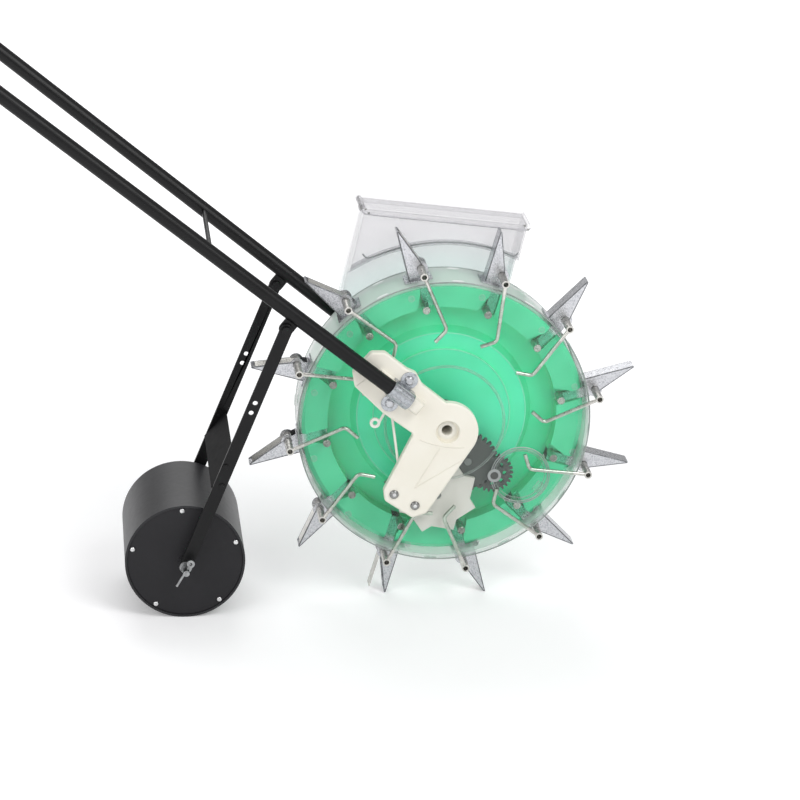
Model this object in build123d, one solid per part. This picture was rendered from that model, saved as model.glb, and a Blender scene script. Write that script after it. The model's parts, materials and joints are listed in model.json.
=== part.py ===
from build123d import *
import os
from math import acos, atan2, cos, degrees, hypot, radians, sin, sqrt

# Walk-behind seed planter. X points forward, Y to the planter's left, Z up.
# The origin is the middle of the drum axle. Side-view angles run from +X towards +Z.

# Shared
RUNNING_GAP = 0.3
SHEET = 1.5

# Drum shell, positions across measured from the mid-plane of the beaks
RIM_R = 190
RIM_LIP = 2.5
BAND_WALL = 3
COVER_FACE = -39
COVER_T = 3
BAND_END = 34
REAR_RING_T = 3
REAR_RING_W = 35.5
SIDE_PLATE_GAP = 2
COVER_RIDGE_GAP = 7.3
COVER_RIDGE_W = 2
COVER_RIDGE_H = 0.8
COVER_HUB_R = 18

# Axle and bushes
AXLE_R = 12
AXLE_BORE_R = 7
AXLE_HALF_L = 66
BUSH_WALL = 3
BUSH_FLANGE_R = 18
BUSH_FLANGE_T = 2
WHEEL_BUSH_L = 20

# Beaks
BEAK_COUNT = 12
FIRST_BEAK_ANGLE = 15
BEAK_REACH = 67
BEAK_HALF_W = 11
BEAK_BASE = 26
BEAK_TIP_W = 1.8
STEM_L = 37.5
STEM_LEAD = 11
STEM_W = 13
FLANGE_AHEAD = 30
FLANGE_BEHIND = 6
FLANGE_HALF_W = 16
EAR_R = 9
HINGE_RISE = 13.62
HINGE_SIDE = 18.83
FLAP_CUT_BACK = 5
FLAP_INSET = 0.2
HINGE_TUBE_R = 5
HINGE_TUBE_BORE = 3.2
HINGE_TUBE_FAR = 12.5
OPEN_BEAK_INDEX = 8
OPEN_ANGLE = 22

# Flap levers
LEVER_ROD_R = 2.5
LEVER_GAP = 4
LEVER_SHOULDER = 0.8
LEVER_TIP_GAP = 4.5
LEVER_TIP_ANGLE = 6.5
LEVER_FOOT = 15
LEVER_BEND_ANGLE = 14
LEVER_FILLET = 8

# Seed wheel
SEED_WALL = 3
PLATEAU_FACE = -5
PLATEAU_STEP = 3
STEP_W = 21
SLOPE_W = 7
FLOOR_W = 31
FLOOR_DEPTH = 13
BLOCK_LIP = 1
BLOCK_RISE = 10
BLOCK_CANT = 6
BLOCK_FRONT_T = 12
MOUTH_L = 22
MOUTH_DEPTH = 9
SEED_HUB_R = 24
SEED_HUB_END = 30

# Drive pegs and star wheel
PEG_INSET = 3.5
PEG_R = 5
PEG_LEAD_ANGLE = 4.5
STAR_TEETH = 8
PEGS_PER_TURN = 4
STAR_ANGLE = -93
STAR_ADDENDUM = 3
STAR_DEDENDUM = 7.5
STAR_STEEP_ANGLE = 12
STAR_FACE = -33
STAR_T = 6

# Gear train
MAIN_MODULE = 2.5
STAR_PINION_TEETH = 17
METERING_TEETH = 30
MAIN_GEAR_T = 6.5
METERING_ANGLE = 47.5
FEED_MODULE = 2
FEED_PINION_TEETH = 14
FEED_TEETH = 25
FEED_GEAR_T = 5
FEED_ANGLE = -28
GEAR_GAP = 0.5
SHAFT_R = 5
CARRIER_T = 4
CARRIER_GAP = 1.5
CARRIER_HUB_R = 22
CARRIER_LOBE_R = 14
FEED_CELLS = 8
FEED_CELL_R = 3
FEED_CELL_CIRCLE_R = 15

# Clean-out door
DOOR_INSET = 65.7
DOOR_CENTRE_ANGLE = -35.5
DOOR_R = 39
DOOR_T = 1.6
DOOR_RIM_W = 3
DOOR_RIM_H = 0.9
DOOR_HOLE_R = 32
DOOR_PIVOT_OFFSET = 34
DOOR_PIN_R = 2.7
DOOR_PIN_HEAD_R = 5
DOOR_PIN_HEAD_T = 1.2
DOOR_RIB_COUNT = 3
DOOR_RIB_W = 1.6
DOOR_RIB_L = 14
DOOR_RIB_PITCH = 4
DOOR_RIB_ANGLE = -34

# Side brackets
BRACKET_FACE = 74
BRACKET_DEPTH = 24.5
BRACKET_SHELL_DEPTH = 11
BRACKET_WALL = 4
BRACKET_SKIN = 5
BRACKET_BOSS_R = 39.5
BRACKET_HUB_R = 20
BRACKET_FILLET = 6
BRACKET_EDGE = 1.5
COUNTERBORE_R = 15
LOWER_ARM_ANGLE = -123
BRACKET_SCREW_CIRCLE_R = 107
BRACKET_SCREW_ANGLES = (-128.4, -111.4)
SCREW_R = 3
SCREW_HEAD_R = 6
SCREW_HEAD_T = 3
SCREW_DOME = 0.6
SCREW_BOSS_R = 8
BRACKET_RIB_T = 3
BRACKET_RIB_L = 100

# Handle tubes
TUBE_R = 9.5
TUBE_WALL = 1.5
TUBE_ANGLE = 141.7
TUBE_SPLAY = 1.7
CLAMP_X = -64
CLAMP_Z = 56
CLAMP_Y = 86.5
TUBE_BELOW_CLAMP = 15
TUBE_STRAIGHT = 880
GRIP_RISE = 12
HANDLE_BEND_R = 120
HANDLE_REACH = 230
GRIP_R = 15
GRIP_L = 125
GRIP_CAP = 3
GRIP_GROOVES = 6
GRIP_GROOVE = 1.5
CROSS_ROD_R = 3
CROSS_ROD_ALONG = 308

# Saddle clamps
STRAP_T = 2
STRAP_HALF_W = 16
EAR_SPREAD = 19.5
STRAP_EAR_R = 11
CLAMP_SCREW_L = 12
CRADLE_HALF_W = 9
CRADLE_H = 8
CRADLE_ABOVE = 37
STUB_L = 18
STUB_H = 17
STUB_EDGE = 3

# Fork and press roller
LUG_T = 4
LUG_INNER = 89.3
LUG_R = 9
PIVOT_DROP = 20.5
PIVOT_R = 4
PIVOT_HEAD_R = 5.5
PIVOT_HEAD_T = 4
LEG_HALF_W = 8
LEG_T = 4
LEG_LENGTH = 340
LEG_LEAN_ANGLE = 21.13
LEG_HOLE_R = 3.2
LEG_HOLE_ALONG = 103
LEG_HOLE_PITCH = 13.8
ROLLER_R = 77
ROLLER_HALF_W = 80
ROLLER_WALL = 3
ROLLER_FLANGE = 8
DISC_T = 3
DISC_INSET = 1.5
DISC_HUB_R = 14
DISC_HUB_L = 10
DISC_SCREWS = 5
DISC_SCREW_CIRCLE_R = 69.5
DISC_SCREW_ANGLE = 93.6
DISC_SCREW_R = 1.6
DISC_SCREW_HEAD_R = 3.4
DISC_SCREW_HEAD_T = 1.6
ROLLER_AXLE_R = 4
ROLLER_AXLE_OVERHANG = 22
SPACER_R = 8
WASHER_R = 8
WASHER_T = 1.6
PIN_R = 1.6
PIN_OUT = 13
PIN_TAIL = 24
PIN_HEAD = 8
PIN_EYE_R = 3.5
PIN_ANGLE = -120
BRACE_T = 3
BRACE_START = 229
BRACE_OFFSET = 8
BRACE_LENGTH = 43
BRACE_TILT = 18
BRACE_TAB_T = 2
BRACE_TAB_W = 14
BRACE_SCREW_R = 2
BRACE_SCREW_STEPS = ((-8, -2), (-34, 3))
BRACE_SCREW_HEAD_R = 3.5
BRACE_SCREW_HEAD_T = 2

# Hopper and lid
HOPPER_WALL = 2
HOPPER_FRONT = 20
HOPPER_BACK = 74
HOPPER_LEDGE_RISE = 31
HOPPER_TOP_REAR_X = -104.5
HOPPER_TOP_REAR_RISE = 79
HOPPER_TOP_FRONT_X = 106
HOPPER_TOP_FRONT_RISE = 57
HOPPER_SHOULDER_REAR_X = -130.7
HOPPER_SHOULDER_REAR_DROP = 45
HOPPER_SHOULDER_FRONT_X = 90
HOPPER_SHOULDER_FRONT_DROP = 20
HOPPER_THROAT_REAR_X = -25
HOPPER_THROAT_FRONT_X = 55
HOPPER_THROAT_DROP = 108
SEED_WINDOW_X = 15
SEED_WINDOW_DROP = 87
SEED_WINDOW_W = 44
SEED_WINDOW_H = 20
SEED_COLLAR = 0.5
LID_T = 3
LID_LIP_T = 2
LID_LIP_H = 7
LID_LIP_GAP = 0.6
LID_NOSE = 3
LID_KNUCKLE_R = 4
LID_PIN_R = 1.8
LID_KNUCKLE_END = 2
LID_KNUCKLE_L = 8

# Striker and hairpin wire
STRIKER_INNER_R = 96
STRIKER_OUTER_R = 109
STRIKER_T = 4
STRIKER_SPAN = 30
WIRE_R = 1.7
WIRE_EYE_R = 5
WIRE_EYE = (-92.5, 9.5)
WIRE_TOP = (-77.5, 29)
WIRE_FOOT = (-61.5, -44)
WIRE_FILLET = 5
WIRE_LIFT = 0.2

# Places worked out from the sizes above
BAND_R = RIM_R - RIM_LIP
SEED_RIM_R = BAND_R - BAND_WALL - RUNNING_GAP
SIDE_PLATE_R = BAND_R - REAR_RING_W - SIDE_PLATE_GAP
TIP_R = RIM_R + BEAK_REACH
STEM_R = BAND_R - STEM_L
LEVER_TIP_R = STRIKER_OUTER_R + LEVER_TIP_GAP
LEVER_BEND_R = LEVER_TIP_R + LEVER_FOOT
BLOCK_R = STEM_R - BLOCK_LIP
SLOPE_R = BLOCK_R - FLOOR_W
STEP_R = SLOPE_R - SLOPE_W
PLATEAU_R = STEP_R - STEP_W
BLOCK_FACE = PLATEAU_FACE - BLOCK_RISE
SEED_FLOOR = PLATEAU_FACE + FLOOR_DEPTH
PEG_CIRCLE_R = STEM_R + PEG_INSET
DOOR_CENTRE_R = RIM_R - DOOR_INSET
COVER_RIDGE_R = DOOR_CENTRE_R - DOOR_R - COVER_RIDGE_GAP
BUSH_BORE_R = AXLE_R + RUNNING_GAP
BUSH_R = BUSH_BORE_R + BUSH_WALL
COVER_BACK = COVER_FACE + COVER_T
REAR_RING_END = BAND_END + REAR_RING_T
SIDE_PLATE_FACE = BAND_END + RUNNING_GAP
SIDE_PLATE_END = REAR_RING_END + SEED_COLLAR
LEVER_Y = COVER_FACE - LEVER_GAP - LEVER_ROD_R
BRACKET_BACK = BRACKET_FACE - BRACKET_DEPTH
SHELL_BACK = BRACKET_FACE - BRACKET_SHELL_DEPTH
STAR_RATIO = BEAK_COUNT / PEGS_PER_TURN
STAR_PITCH_R = PEG_CIRCLE_R / STAR_RATIO
STAR_TIP_R = STAR_PITCH_R + STAR_ADDENDUM
STAR_ROOT_R = STAR_PITCH_R - STAR_DEDENDUM
STAR_END = STAR_FACE + STAR_T
COVER_HUB_END = STAR_FACE - GEAR_GAP
MAIN_GEAR_FACE = STAR_END + GEAR_GAP
MAIN_GEAR_END = MAIN_GEAR_FACE + MAIN_GEAR_T
FEED_GEAR_FACE = MAIN_GEAR_END + GEAR_GAP
FEED_GEAR_END = FEED_GEAR_FACE + FEED_GEAR_T
CARRIER_FACE = FEED_GEAR_END + CARRIER_GAP
CARRIER_END = CARRIER_FACE + CARRIER_T
SHAFT_BORE_R = SHAFT_R + RUNNING_GAP
FLOOR_Z = -TIP_R * cos(radians(FIRST_BEAK_ANGLE))
ROLLER_Z = FLOOR_Z + ROLLER_R
LEG_INNER = LUG_INNER + LUG_T + RUNNING_GAP
LEG_OUTER = LEG_INNER + LEG_T
BEAK_STEP = 360 / BEAK_COUNT


def polar(radius, angle):
    return (radius * cos(radians(angle)), radius * sin(radians(angle)))


def shift(point, angle, along, across=0):
    """Side-view point moved along a direction, and across to the right of it."""
    ahead = polar(along, angle)
    aside = polar(across, angle - 90)
    return (point[0] + ahead[0] + aside[0], point[1] + ahead[1] + aside[1])


def prism(outline, y_from, y_to):
    """A side-view outline extruded across the planter."""
    face = Pos(0, y_from, 0) * (Plane.XZ * outline)
    return extrude(face, amount=y_to - y_from, dir=(0, 1, 0))


def disc(radius, y_from, y_to, centre=(0, 0)):
    return prism(Pos(*centre) * Circle(radius), y_from, y_to)


def ring(outer, inner, y_from, y_to, centre=(0, 0)):
    return prism(Pos(*centre) * (Circle(outer) - Circle(inner)), y_from, y_to)


def block(x_range, y_range, z_range):
    size = (x_range[1] - x_range[0], y_range[1] - y_range[0], z_range[1] - z_range[0])
    corner = Pos(x_range[0], y_range[0], z_range[0])
    return corner * Box(*size, align=(Align.MIN, Align.MIN, Align.MIN))


def turned(piece, angle, centre=(0, 0)):
    """A piece turned about a cross axis, counter-clockwise in the side view."""
    return Pos(centre[0], 0, centre[1]) * Rot(0, -angle, 0) * Pos(-centre[0], 0, -centre[1]) * piece


def around(piece, count, first=0):
    return [turned(piece, first + k * 360 / count) for k in range(count)]


def other_side(piece):
    return mirror(piece, about=Plane.XZ)


def touch_angle(point, radius, side):
    """Where a line from a side-view point touches a circle about the axle, on one side of the point."""
    lean = degrees(acos(radius / hypot(*point)))
    return degrees(atan2(point[1], point[0])) + side * lean


def rod(points, y, radius, bend):
    """A round rod along a bent side-view path at one distance across."""
    path = FilletPolyline(*[(x, y, z) for x, z in points], radius=bend)
    return sweep((path ^ 0) * Circle(radius), path=path)


# Beaks, drawn pointing along +X with their leading side towards -Z
HINGE = (BAND_R + HINGE_RISE, -HINGE_SIDE)
BEAK_ANGLES = [FIRST_BEAK_ANGLE + k * BEAK_STEP for k in range(BEAK_COUNT)]
BEAK_POINT = (TIP_R, -BEAK_TIP_W)
TO_POINT = degrees(atan2(BEAK_POINT[1] - HINGE[1], BEAK_POINT[0] - HINGE[0]))
HINGE_TO_POINT = hypot(BEAK_POINT[0] - HINGE[0], BEAK_POINT[1] - HINGE[1])
FLAP_SEAT_R = HINGE_TUBE_R - FLAP_INSET
FLAP_TURN = degrees(acos(FLAP_SEAT_R / HINGE_TO_POINT))
FLAP_ROOT = shift(HINGE, TO_POINT - FLAP_TURN, FLAP_SEAT_R)
FLAP_ANGLE = TO_POINT - FLAP_TURN + 90
FLAP_LENGTH = sqrt(HINGE_TO_POINT**2 - FLAP_SEAT_R**2)


def stem(inset):
    """A beak's square stem, or its hollow at an inset from the outside."""
    return block(
        (STEM_R, BAND_R + SHEET),
        (inset - BEAK_HALF_W, BEAK_HALF_W - inset),
        (inset - STEM_LEAD - STEM_W, -STEM_LEAD - inset),
    )


def stem_channel():
    """Groove in the seed wheel for a stem, open to the front and, above the floor, to the middle."""
    z_range = (-STEM_LEAD - STEM_W - RUNNING_GAP, RUNNING_GAP - STEM_LEAD)
    front = BLOCK_FACE - RUNNING_GAP
    groove = block((STEM_R - RUNNING_GAP, BAND_R), (front, BEAK_HALF_W + RUNNING_GAP), z_range)
    return groove + block((BLOCK_R - SEED_WALL, STEM_R), (front, SEED_FLOOR), z_range)


def fixed_beak():
    """Folded sheet channel: trailing wall, two cheeks with hinge ears, seat flange and inner stem."""
    cheek = Polygon(
        (TIP_R, 0), (BAND_R, 0), (BAND_R, -BEAK_BASE), FLAP_ROOT, BEAK_POINT, align=None
    )
    cheek += Pos(*HINGE) * Circle(EAR_R)
    beak = prism(cheek, -BEAK_HALF_W, BEAK_HALF_W)
    strip = Pos(BAND_R, (FLANGE_BEHIND - FLANGE_AHEAD) / 2) * Rectangle(
        2 * BEAK_BASE, FLANGE_AHEAD + FLANGE_BEHIND
    )
    seat = (Circle(BAND_R + SHEET) - Circle(BAND_R)) & strip
    beak += prism(seat, -FLANGE_HALF_W, FLANGE_HALF_W)
    beak -= disc(BAND_R, -FLANGE_HALF_W, FLANGE_HALF_W)
    inner_w = BEAK_HALF_W - SHEET
    beak -= block((BAND_R + SHEET, TIP_R), (-inner_w, inner_w), (-2 * BEAK_BASE, -SHEET))
    beak += stem(0)
    beak -= stem(SHEET)
    return beak - disc(HINGE_TUBE_R + RUNNING_GAP, -BEAK_HALF_W, BEAK_HALF_W, HINGE)


def beak_flap():
    """Flap plate on a hinge tube, with the bent lever rod welded to the tube's near end."""
    flap_w = BEAK_HALF_W - SHEET - RUNNING_GAP
    tip = shift(FLAP_ROOT, FLAP_ANGLE, FLAP_LENGTH - FLAP_CUT_BACK)
    inner_tip = shift(tip, FLAP_ANGLE, 0, -SHEET)
    inner_root = shift(FLAP_ROOT, FLAP_ANGLE, 0, -SHEET)
    plate = Polygon(FLAP_ROOT, tip, inner_tip, inner_root, align=None)
    flap = prism(plate, -flap_w, flap_w)
    near_end = LEVER_Y - LEVER_ROD_R - LEVER_SHOULDER
    flap += disc(HINGE_TUBE_R, near_end, HINGE_TUBE_FAR, HINGE)
    bend = polar(LEVER_BEND_R, -LEVER_BEND_ANGLE)
    tip_end = polar(LEVER_TIP_R, -LEVER_TIP_ANGLE)
    flap += rod([HINGE, bend, tip_end], LEVER_Y, LEVER_ROD_R, LEVER_FILLET)
    return flap - disc(HINGE_TUBE_BORE, near_end, HINGE_TUBE_FAR, HINGE)


def flap_at(index):
    """Flap in its place on the drum. One beak stands open, pressed by the striker."""
    flap = beak_flap()
    if index == OPEN_BEAK_INDEX:
        flap = turned(flap, -OPEN_ANGLE, HINGE)
    return turned(flap, BEAK_ANGLES[index])


# Drum
DOOR_CENTRE = polar(DOOR_CENTRE_R, DOOR_CENTRE_ANGLE)
DOOR_PIVOT = (DOOR_CENTRE[0] - DOOR_PIVOT_OFFSET, DOOR_CENTRE[1])


def front_cover():
    """Clear disc and band in one moulding, slotted for the beak stems."""
    cover = ring(RIM_R, BUSH_R, COVER_FACE, COVER_BACK)
    cover += ring(BAND_R, BAND_R - BAND_WALL, COVER_BACK, BAND_END)
    cover += ring(COVER_HUB_R, BUSH_R, COVER_BACK, COVER_HUB_END)
    ridge_face = COVER_FACE - COVER_RIDGE_H
    cover += ring(COVER_RIDGE_R, COVER_RIDGE_R - COVER_RIDGE_W, ridge_face, COVER_FACE)
    cover -= disc(DOOR_HOLE_R, ridge_face, COVER_BACK, DOOR_CENTRE)
    cover -= disc(DOOR_PIN_R, ridge_face, COVER_BACK, DOOR_PIVOT)
    return cover - Compound(around(stem(0), BEAK_COUNT, FIRST_BEAK_ANGLE))


def rear_ring():
    return ring(BAND_R, SIDE_PLATE_R + SIDE_PLATE_GAP, BAND_END, REAR_RING_END)


def seed_wheel():
    """Green moulded wheel: raised plateau, sunk floor, high blocks between the stems."""
    step = PLATEAU_FACE + PLATEAU_STEP
    near = [
        (BUSH_R, PLATEAU_FACE),
        (PLATEAU_R, PLATEAU_FACE),
        (PLATEAU_R, step),
        (STEP_R, step),
        (SLOPE_R, SEED_FLOOR),
        (BLOCK_R, SEED_FLOOR),
        (BLOCK_R, BLOCK_FACE),
        (SEED_RIM_R - BLOCK_CANT, BLOCK_FACE),
        (SEED_RIM_R, BLOCK_FACE + BLOCK_CANT),
    ]
    far = [
        (SEED_RIM_R, SEED_HUB_END),
        (SEED_RIM_R - SEED_WALL, SEED_HUB_END),
        (SEED_RIM_R - SEED_WALL, BLOCK_FACE + BLOCK_FRONT_T),
        (BLOCK_R + SEED_WALL, BLOCK_FACE + BLOCK_FRONT_T),
        (BLOCK_R + SEED_WALL, SEED_FLOOR + SEED_WALL),
        (SLOPE_R - SEED_WALL, SEED_FLOOR + SEED_WALL),
        (STEP_R - SEED_WALL, step + SEED_WALL),
        (SEED_HUB_R, step + SEED_WALL),
        (SEED_HUB_R, SEED_HUB_END),
        (BUSH_R, SEED_HUB_END),
    ]
    wheel = revolve(Polygon(*near, *far, align=None), axis=Axis.Y)
    inner = BLOCK_R - SEED_WALL
    mouth = Polygon((inner, 0), (inner, -STEM_LEAD), (STEM_R + MOUTH_L, -STEM_LEAD), align=None)
    mouth = prism(mouth, BLOCK_FACE - RUNNING_GAP, BLOCK_FACE + MOUTH_DEPTH)
    cuts = around(stem_channel(), BEAK_COUNT, FIRST_BEAK_ANGLE)
    cuts += around(mouth, BEAK_COUNT, FIRST_BEAK_ANGLE)
    return wheel - Compound(cuts)


def drum_bushes():
    cover_bush = ring(BUSH_R, BUSH_BORE_R, COVER_FACE, COVER_HUB_END)
    cover_bush += ring(BUSH_FLANGE_R, BUSH_BORE_R, COVER_FACE - BUSH_FLANGE_T, COVER_FACE)
    wheel_bush = ring(BUSH_R, BUSH_BORE_R, PLATEAU_FACE, PLATEAU_FACE + WHEEL_BUSH_L)
    return [cover_bush, wheel_bush]


def drive_pegs():
    peg = disc(PEG_R, COVER_BACK, -BEAK_HALF_W, (PEG_CIRCLE_R, 0))
    return around(peg, BEAK_COUNT, FIRST_BEAK_ANGLE - PEG_LEAD_ANGLE)


DOOR_BACK = COVER_FACE - RUNNING_GAP
DOOR_FACE = DOOR_BACK - DOOR_T
DOOR_RIM_FACE = DOOR_FACE - DOOR_RIM_H


def clean_out_door():
    """Thin swing door with a raised rim and thumb ribs."""
    door = disc(DOOR_R, DOOR_FACE, DOOR_BACK, DOOR_CENTRE)
    door += ring(DOOR_R, DOOR_R - DOOR_RIM_W, DOOR_RIM_FACE, DOOR_FACE, DOOR_CENTRE)
    first_rib = DOOR_CENTRE[0] + DOOR_R - DOOR_RIM_W - DOOR_RIB_COUNT * DOOR_RIB_PITCH
    for k in range(DOOR_RIB_COUNT):
        x = first_rib + k * DOOR_RIB_PITCH
        half = DOOR_RIB_L / 2
        z = DOOR_CENTRE[1]
        rib = block((x, x + DOOR_RIB_W), (DOOR_RIM_FACE, DOOR_FACE), (z - half, z + half))
        door += turned(rib, DOOR_RIB_ANGLE, DOOR_CENTRE)
    door -= disc(DOOR_PIN_HEAD_R + RUNNING_GAP, DOOR_RIM_FACE, DOOR_FACE, DOOR_PIVOT)
    return door - disc(DOOR_PIN_R + RUNNING_GAP, DOOR_RIM_FACE, DOOR_BACK, DOOR_PIVOT)


def door_pin():
    head_back = DOOR_FACE - RUNNING_GAP
    pin = disc(DOOR_PIN_R, head_back, COVER_BACK, DOOR_PIVOT)
    return pin + disc(DOOR_PIN_HEAD_R, head_back - DOOR_PIN_HEAD_T, head_back, DOOR_PIVOT)


# Metering drive
STAR_CENTRE = polar(PEG_CIRCLE_R - STAR_PITCH_R, STAR_ANGLE)
MAIN_DISTANCE = MAIN_MODULE * (STAR_PINION_TEETH + METERING_TEETH) / 2
METERING_CENTRE = shift(STAR_CENTRE, METERING_ANGLE, MAIN_DISTANCE)
FEED_DISTANCE = FEED_MODULE * (FEED_PINION_TEETH + FEED_TEETH) / 2
FEED_CENTRE = shift(METERING_CENTRE, FEED_ANGLE, FEED_DISTANCE)
FIRST_PEG_ANGLE = FIRST_BEAK_ANGLE - PEG_LEAD_ANGLE
PEG_TO_STAR = (FIRST_PEG_ANGLE - STAR_ANGLE + BEAK_STEP / 2) % BEAK_STEP - BEAK_STEP / 2
STAR_NOTCH_ANGLE = STAR_ANGLE + PEG_TO_STAR * STAR_RATIO

# Share of a tooth pitch taken by half a tooth at root, pitch line and tip
TOOTH_ROOT = 0.3
TOOTH_PITCH = 0.215
TOOTH_TIP = 0.1
TOOTH_ADDENDUM = 0.9
TOOTH_DEDENDUM = 1.25


def gear_outline(teeth, module, tooth_angle):
    """Spur gear with backlash. One tooth points at tooth_angle."""
    pitch_r = module * teeth / 2
    step = 360 / teeth
    points = []
    for k in range(teeth):
        middle = tooth_angle + k * step
        flank = [
            (pitch_r - TOOTH_DEDENDUM * module, TOOTH_ROOT),
            (pitch_r, TOOTH_PITCH),
            (pitch_r + TOOTH_ADDENDUM * module, TOOTH_TIP),
        ]
        points += [polar(radius, middle - share * step) for radius, share in flank]
        points += [polar(radius, middle + share * step) for radius, share in reversed(flank)]
    return Polygon(*points, align=None)


def gear(teeth, module, tooth_angle, y_from, y_to, centre):
    return prism(Pos(*centre) * gear_outline(teeth, module, tooth_angle), y_from, y_to)


def star_wheel():
    """Saw-tooth star turned by the pegs, with its pinion behind it."""
    step = 360 / STAR_TEETH
    points = []
    for k in range(STAR_TEETH):
        notch = STAR_NOTCH_ANGLE - k * step
        points += [polar(STAR_ROOT_R, notch), polar(STAR_TIP_R, notch - STAR_STEEP_ANGLE)]
    star = prism(Pos(*STAR_CENTRE) * Polygon(*points, align=None), STAR_FACE, STAR_END)
    star += gear(STAR_PINION_TEETH, MAIN_MODULE, METERING_ANGLE, STAR_END, MAIN_GEAR_END, STAR_CENTRE)
    return star - disc(SHAFT_BORE_R, STAR_FACE, MAIN_GEAR_END, STAR_CENTRE)


def metering_gear():
    """Driven by the star pinion. Its small pinion turns the feed wheel."""
    gap_to_star = METERING_ANGLE + 180 + 180 / METERING_TEETH
    wheel = gear(METERING_TEETH, MAIN_MODULE, gap_to_star, MAIN_GEAR_FACE, MAIN_GEAR_END, METERING_CENTRE)
    wheel += gear(FEED_PINION_TEETH, FEED_MODULE, FEED_ANGLE, MAIN_GEAR_END, FEED_GEAR_END, METERING_CENTRE)
    return wheel - disc(SHAFT_BORE_R, MAIN_GEAR_FACE, FEED_GEAR_END, METERING_CENTRE)


def feed_wheel():
    """Cell wheel that meters the seed."""
    gap_to_pinion = FEED_ANGLE + 180 + 180 / FEED_TEETH
    wheel = gear(FEED_TEETH, FEED_MODULE, gap_to_pinion, FEED_GEAR_FACE, FEED_GEAR_END, FEED_CENTRE)
    for k in range(FEED_CELLS):
        cell = shift(FEED_CENTRE, k * 360 / FEED_CELLS, FEED_CELL_CIRCLE_R)
        wheel -= disc(FEED_CELL_R, FEED_GEAR_FACE, FEED_GEAR_END, cell)
    return wheel - disc(SHAFT_BORE_R, FEED_GEAR_FACE, FEED_GEAR_END, FEED_CENTRE)


GEAR_CENTRES = (STAR_CENTRE, METERING_CENTRE, FEED_CENTRE)
GEAR_FACES = (STAR_FACE, MAIN_GEAR_FACE, FEED_GEAR_FACE)


def gear_carrier():
    """Fixed plate on the axle that carries the three shafts."""
    lobes = Sketch() + Circle(CARRIER_HUB_R)
    lobes += [Pos(*centre) * Circle(CARRIER_LOBE_R) for centre in GEAR_CENTRES]
    plate = prism(make_hull(lobes.edges()), CARRIER_FACE, CARRIER_END)
    for centre in GEAR_CENTRES:
        plate -= disc(SHAFT_R, CARRIER_FACE, CARRIER_END, centre)
    return plate - disc(AXLE_R, CARRIER_FACE, CARRIER_END)


def gear_shafts():
    return [disc(SHAFT_R, face, CARRIER_END, centre) for face, centre in zip(GEAR_FACES, GEAR_CENTRES)]


def axle():
    return ring(AXLE_R, AXLE_BORE_R, -AXLE_HALF_L, AXLE_HALF_L)


# Handle tubes, drawn on the right side and mirrored
CLAMP = (CLAMP_X, CLAMP_Z)
SPLAY = radians(TUBE_SPLAY)
TUBE_DIR = Vector(
    cos(SPLAY) * cos(radians(TUBE_ANGLE)), -sin(SPLAY), cos(SPLAY) * sin(radians(TUBE_ANGLE))
)
ACROSS_DIR = Vector(sin(radians(TUBE_ANGLE)), 0, -cos(radians(TUBE_ANGLE)))
CLAMP_POINT = Vector(CLAMP_X, -CLAMP_Y, CLAMP_Z)
CLAMP_PLANE = Plane(origin=CLAMP_POINT, x_dir=ACROSS_DIR, z_dir=TUBE_DIR)
GRIP_DIR = Vector(
    -cos(SPLAY) * cos(radians(GRIP_RISE)), -sin(SPLAY), cos(SPLAY) * sin(radians(GRIP_RISE))
)
HANDLE_CORNER = CLAMP_POINT + TUBE_DIR * TUBE_STRAIGHT
HANDLE_END = HANDLE_CORNER + GRIP_DIR * HANDLE_REACH
LEG_ANGLE = -90 - LEG_LEAN_ANGLE
PIVOT_Z = ROLLER_Z + LEG_LENGTH * cos(radians(LEG_LEAN_ANGLE))
PIVOT_ALONG = (PIVOT_Z - CLAMP_Z - PIVOT_DROP * cos(radians(TUBE_ANGLE))) / sin(radians(TUBE_ANGLE))
PIVOT = shift(CLAMP, TUBE_ANGLE, PIVOT_ALONG, -PIVOT_DROP)
FACE_DEPTH = CLAMP_Y - BRACKET_FACE


def straight_tube_core(radius, below, above):
    core = Pos(0, 0, -below) * Cylinder(radius, below + above, align=(Align.CENTER, Align.CENTER, Align.MIN))
    return CLAMP_PLANE * core


def cross_rod():
    middle = shift(CLAMP, TUBE_ANGLE, CROSS_ROD_ALONG)
    reach = CLAMP_Y + CROSS_ROD_ALONG * sin(SPLAY)
    return disc(CROSS_ROD_R, -reach, reach, middle)


def handle_tube():
    """Bent steel tube with the welded lug for the fork leg."""
    foot = CLAMP_POINT - TUBE_DIR * TUBE_BELOW_CLAMP
    path = FilletPolyline(foot, HANDLE_CORNER, HANDLE_END, radius=HANDLE_BEND_R)
    section = Plane(origin=foot, z_dir=TUBE_DIR) * (Circle(TUBE_R) - Circle(TUBE_R - TUBE_WALL))
    tube = sweep(section, path=path)
    axis_point = shift(CLAMP, TUBE_ANGLE, PIVOT_ALONG)
    middle = ((PIVOT[0] + axis_point[0]) / 2, (PIVOT[1] + axis_point[1]) / 2)
    tab = Pos(*middle) * Rot(0, 0, TUBE_ANGLE) * Rectangle(2 * LUG_R, PIVOT_DROP)
    tab += Pos(*PIVOT) * Circle(LUG_R)
    tab -= Pos(*PIVOT) * Circle(PIVOT_R)
    lug = prism(tab, -LUG_INNER - LUG_T, -LUG_INNER)
    tube += lug - straight_tube_core(TUBE_R, 0, TUBE_STRAIGHT / 2)
    return tube - cross_rod()


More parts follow.
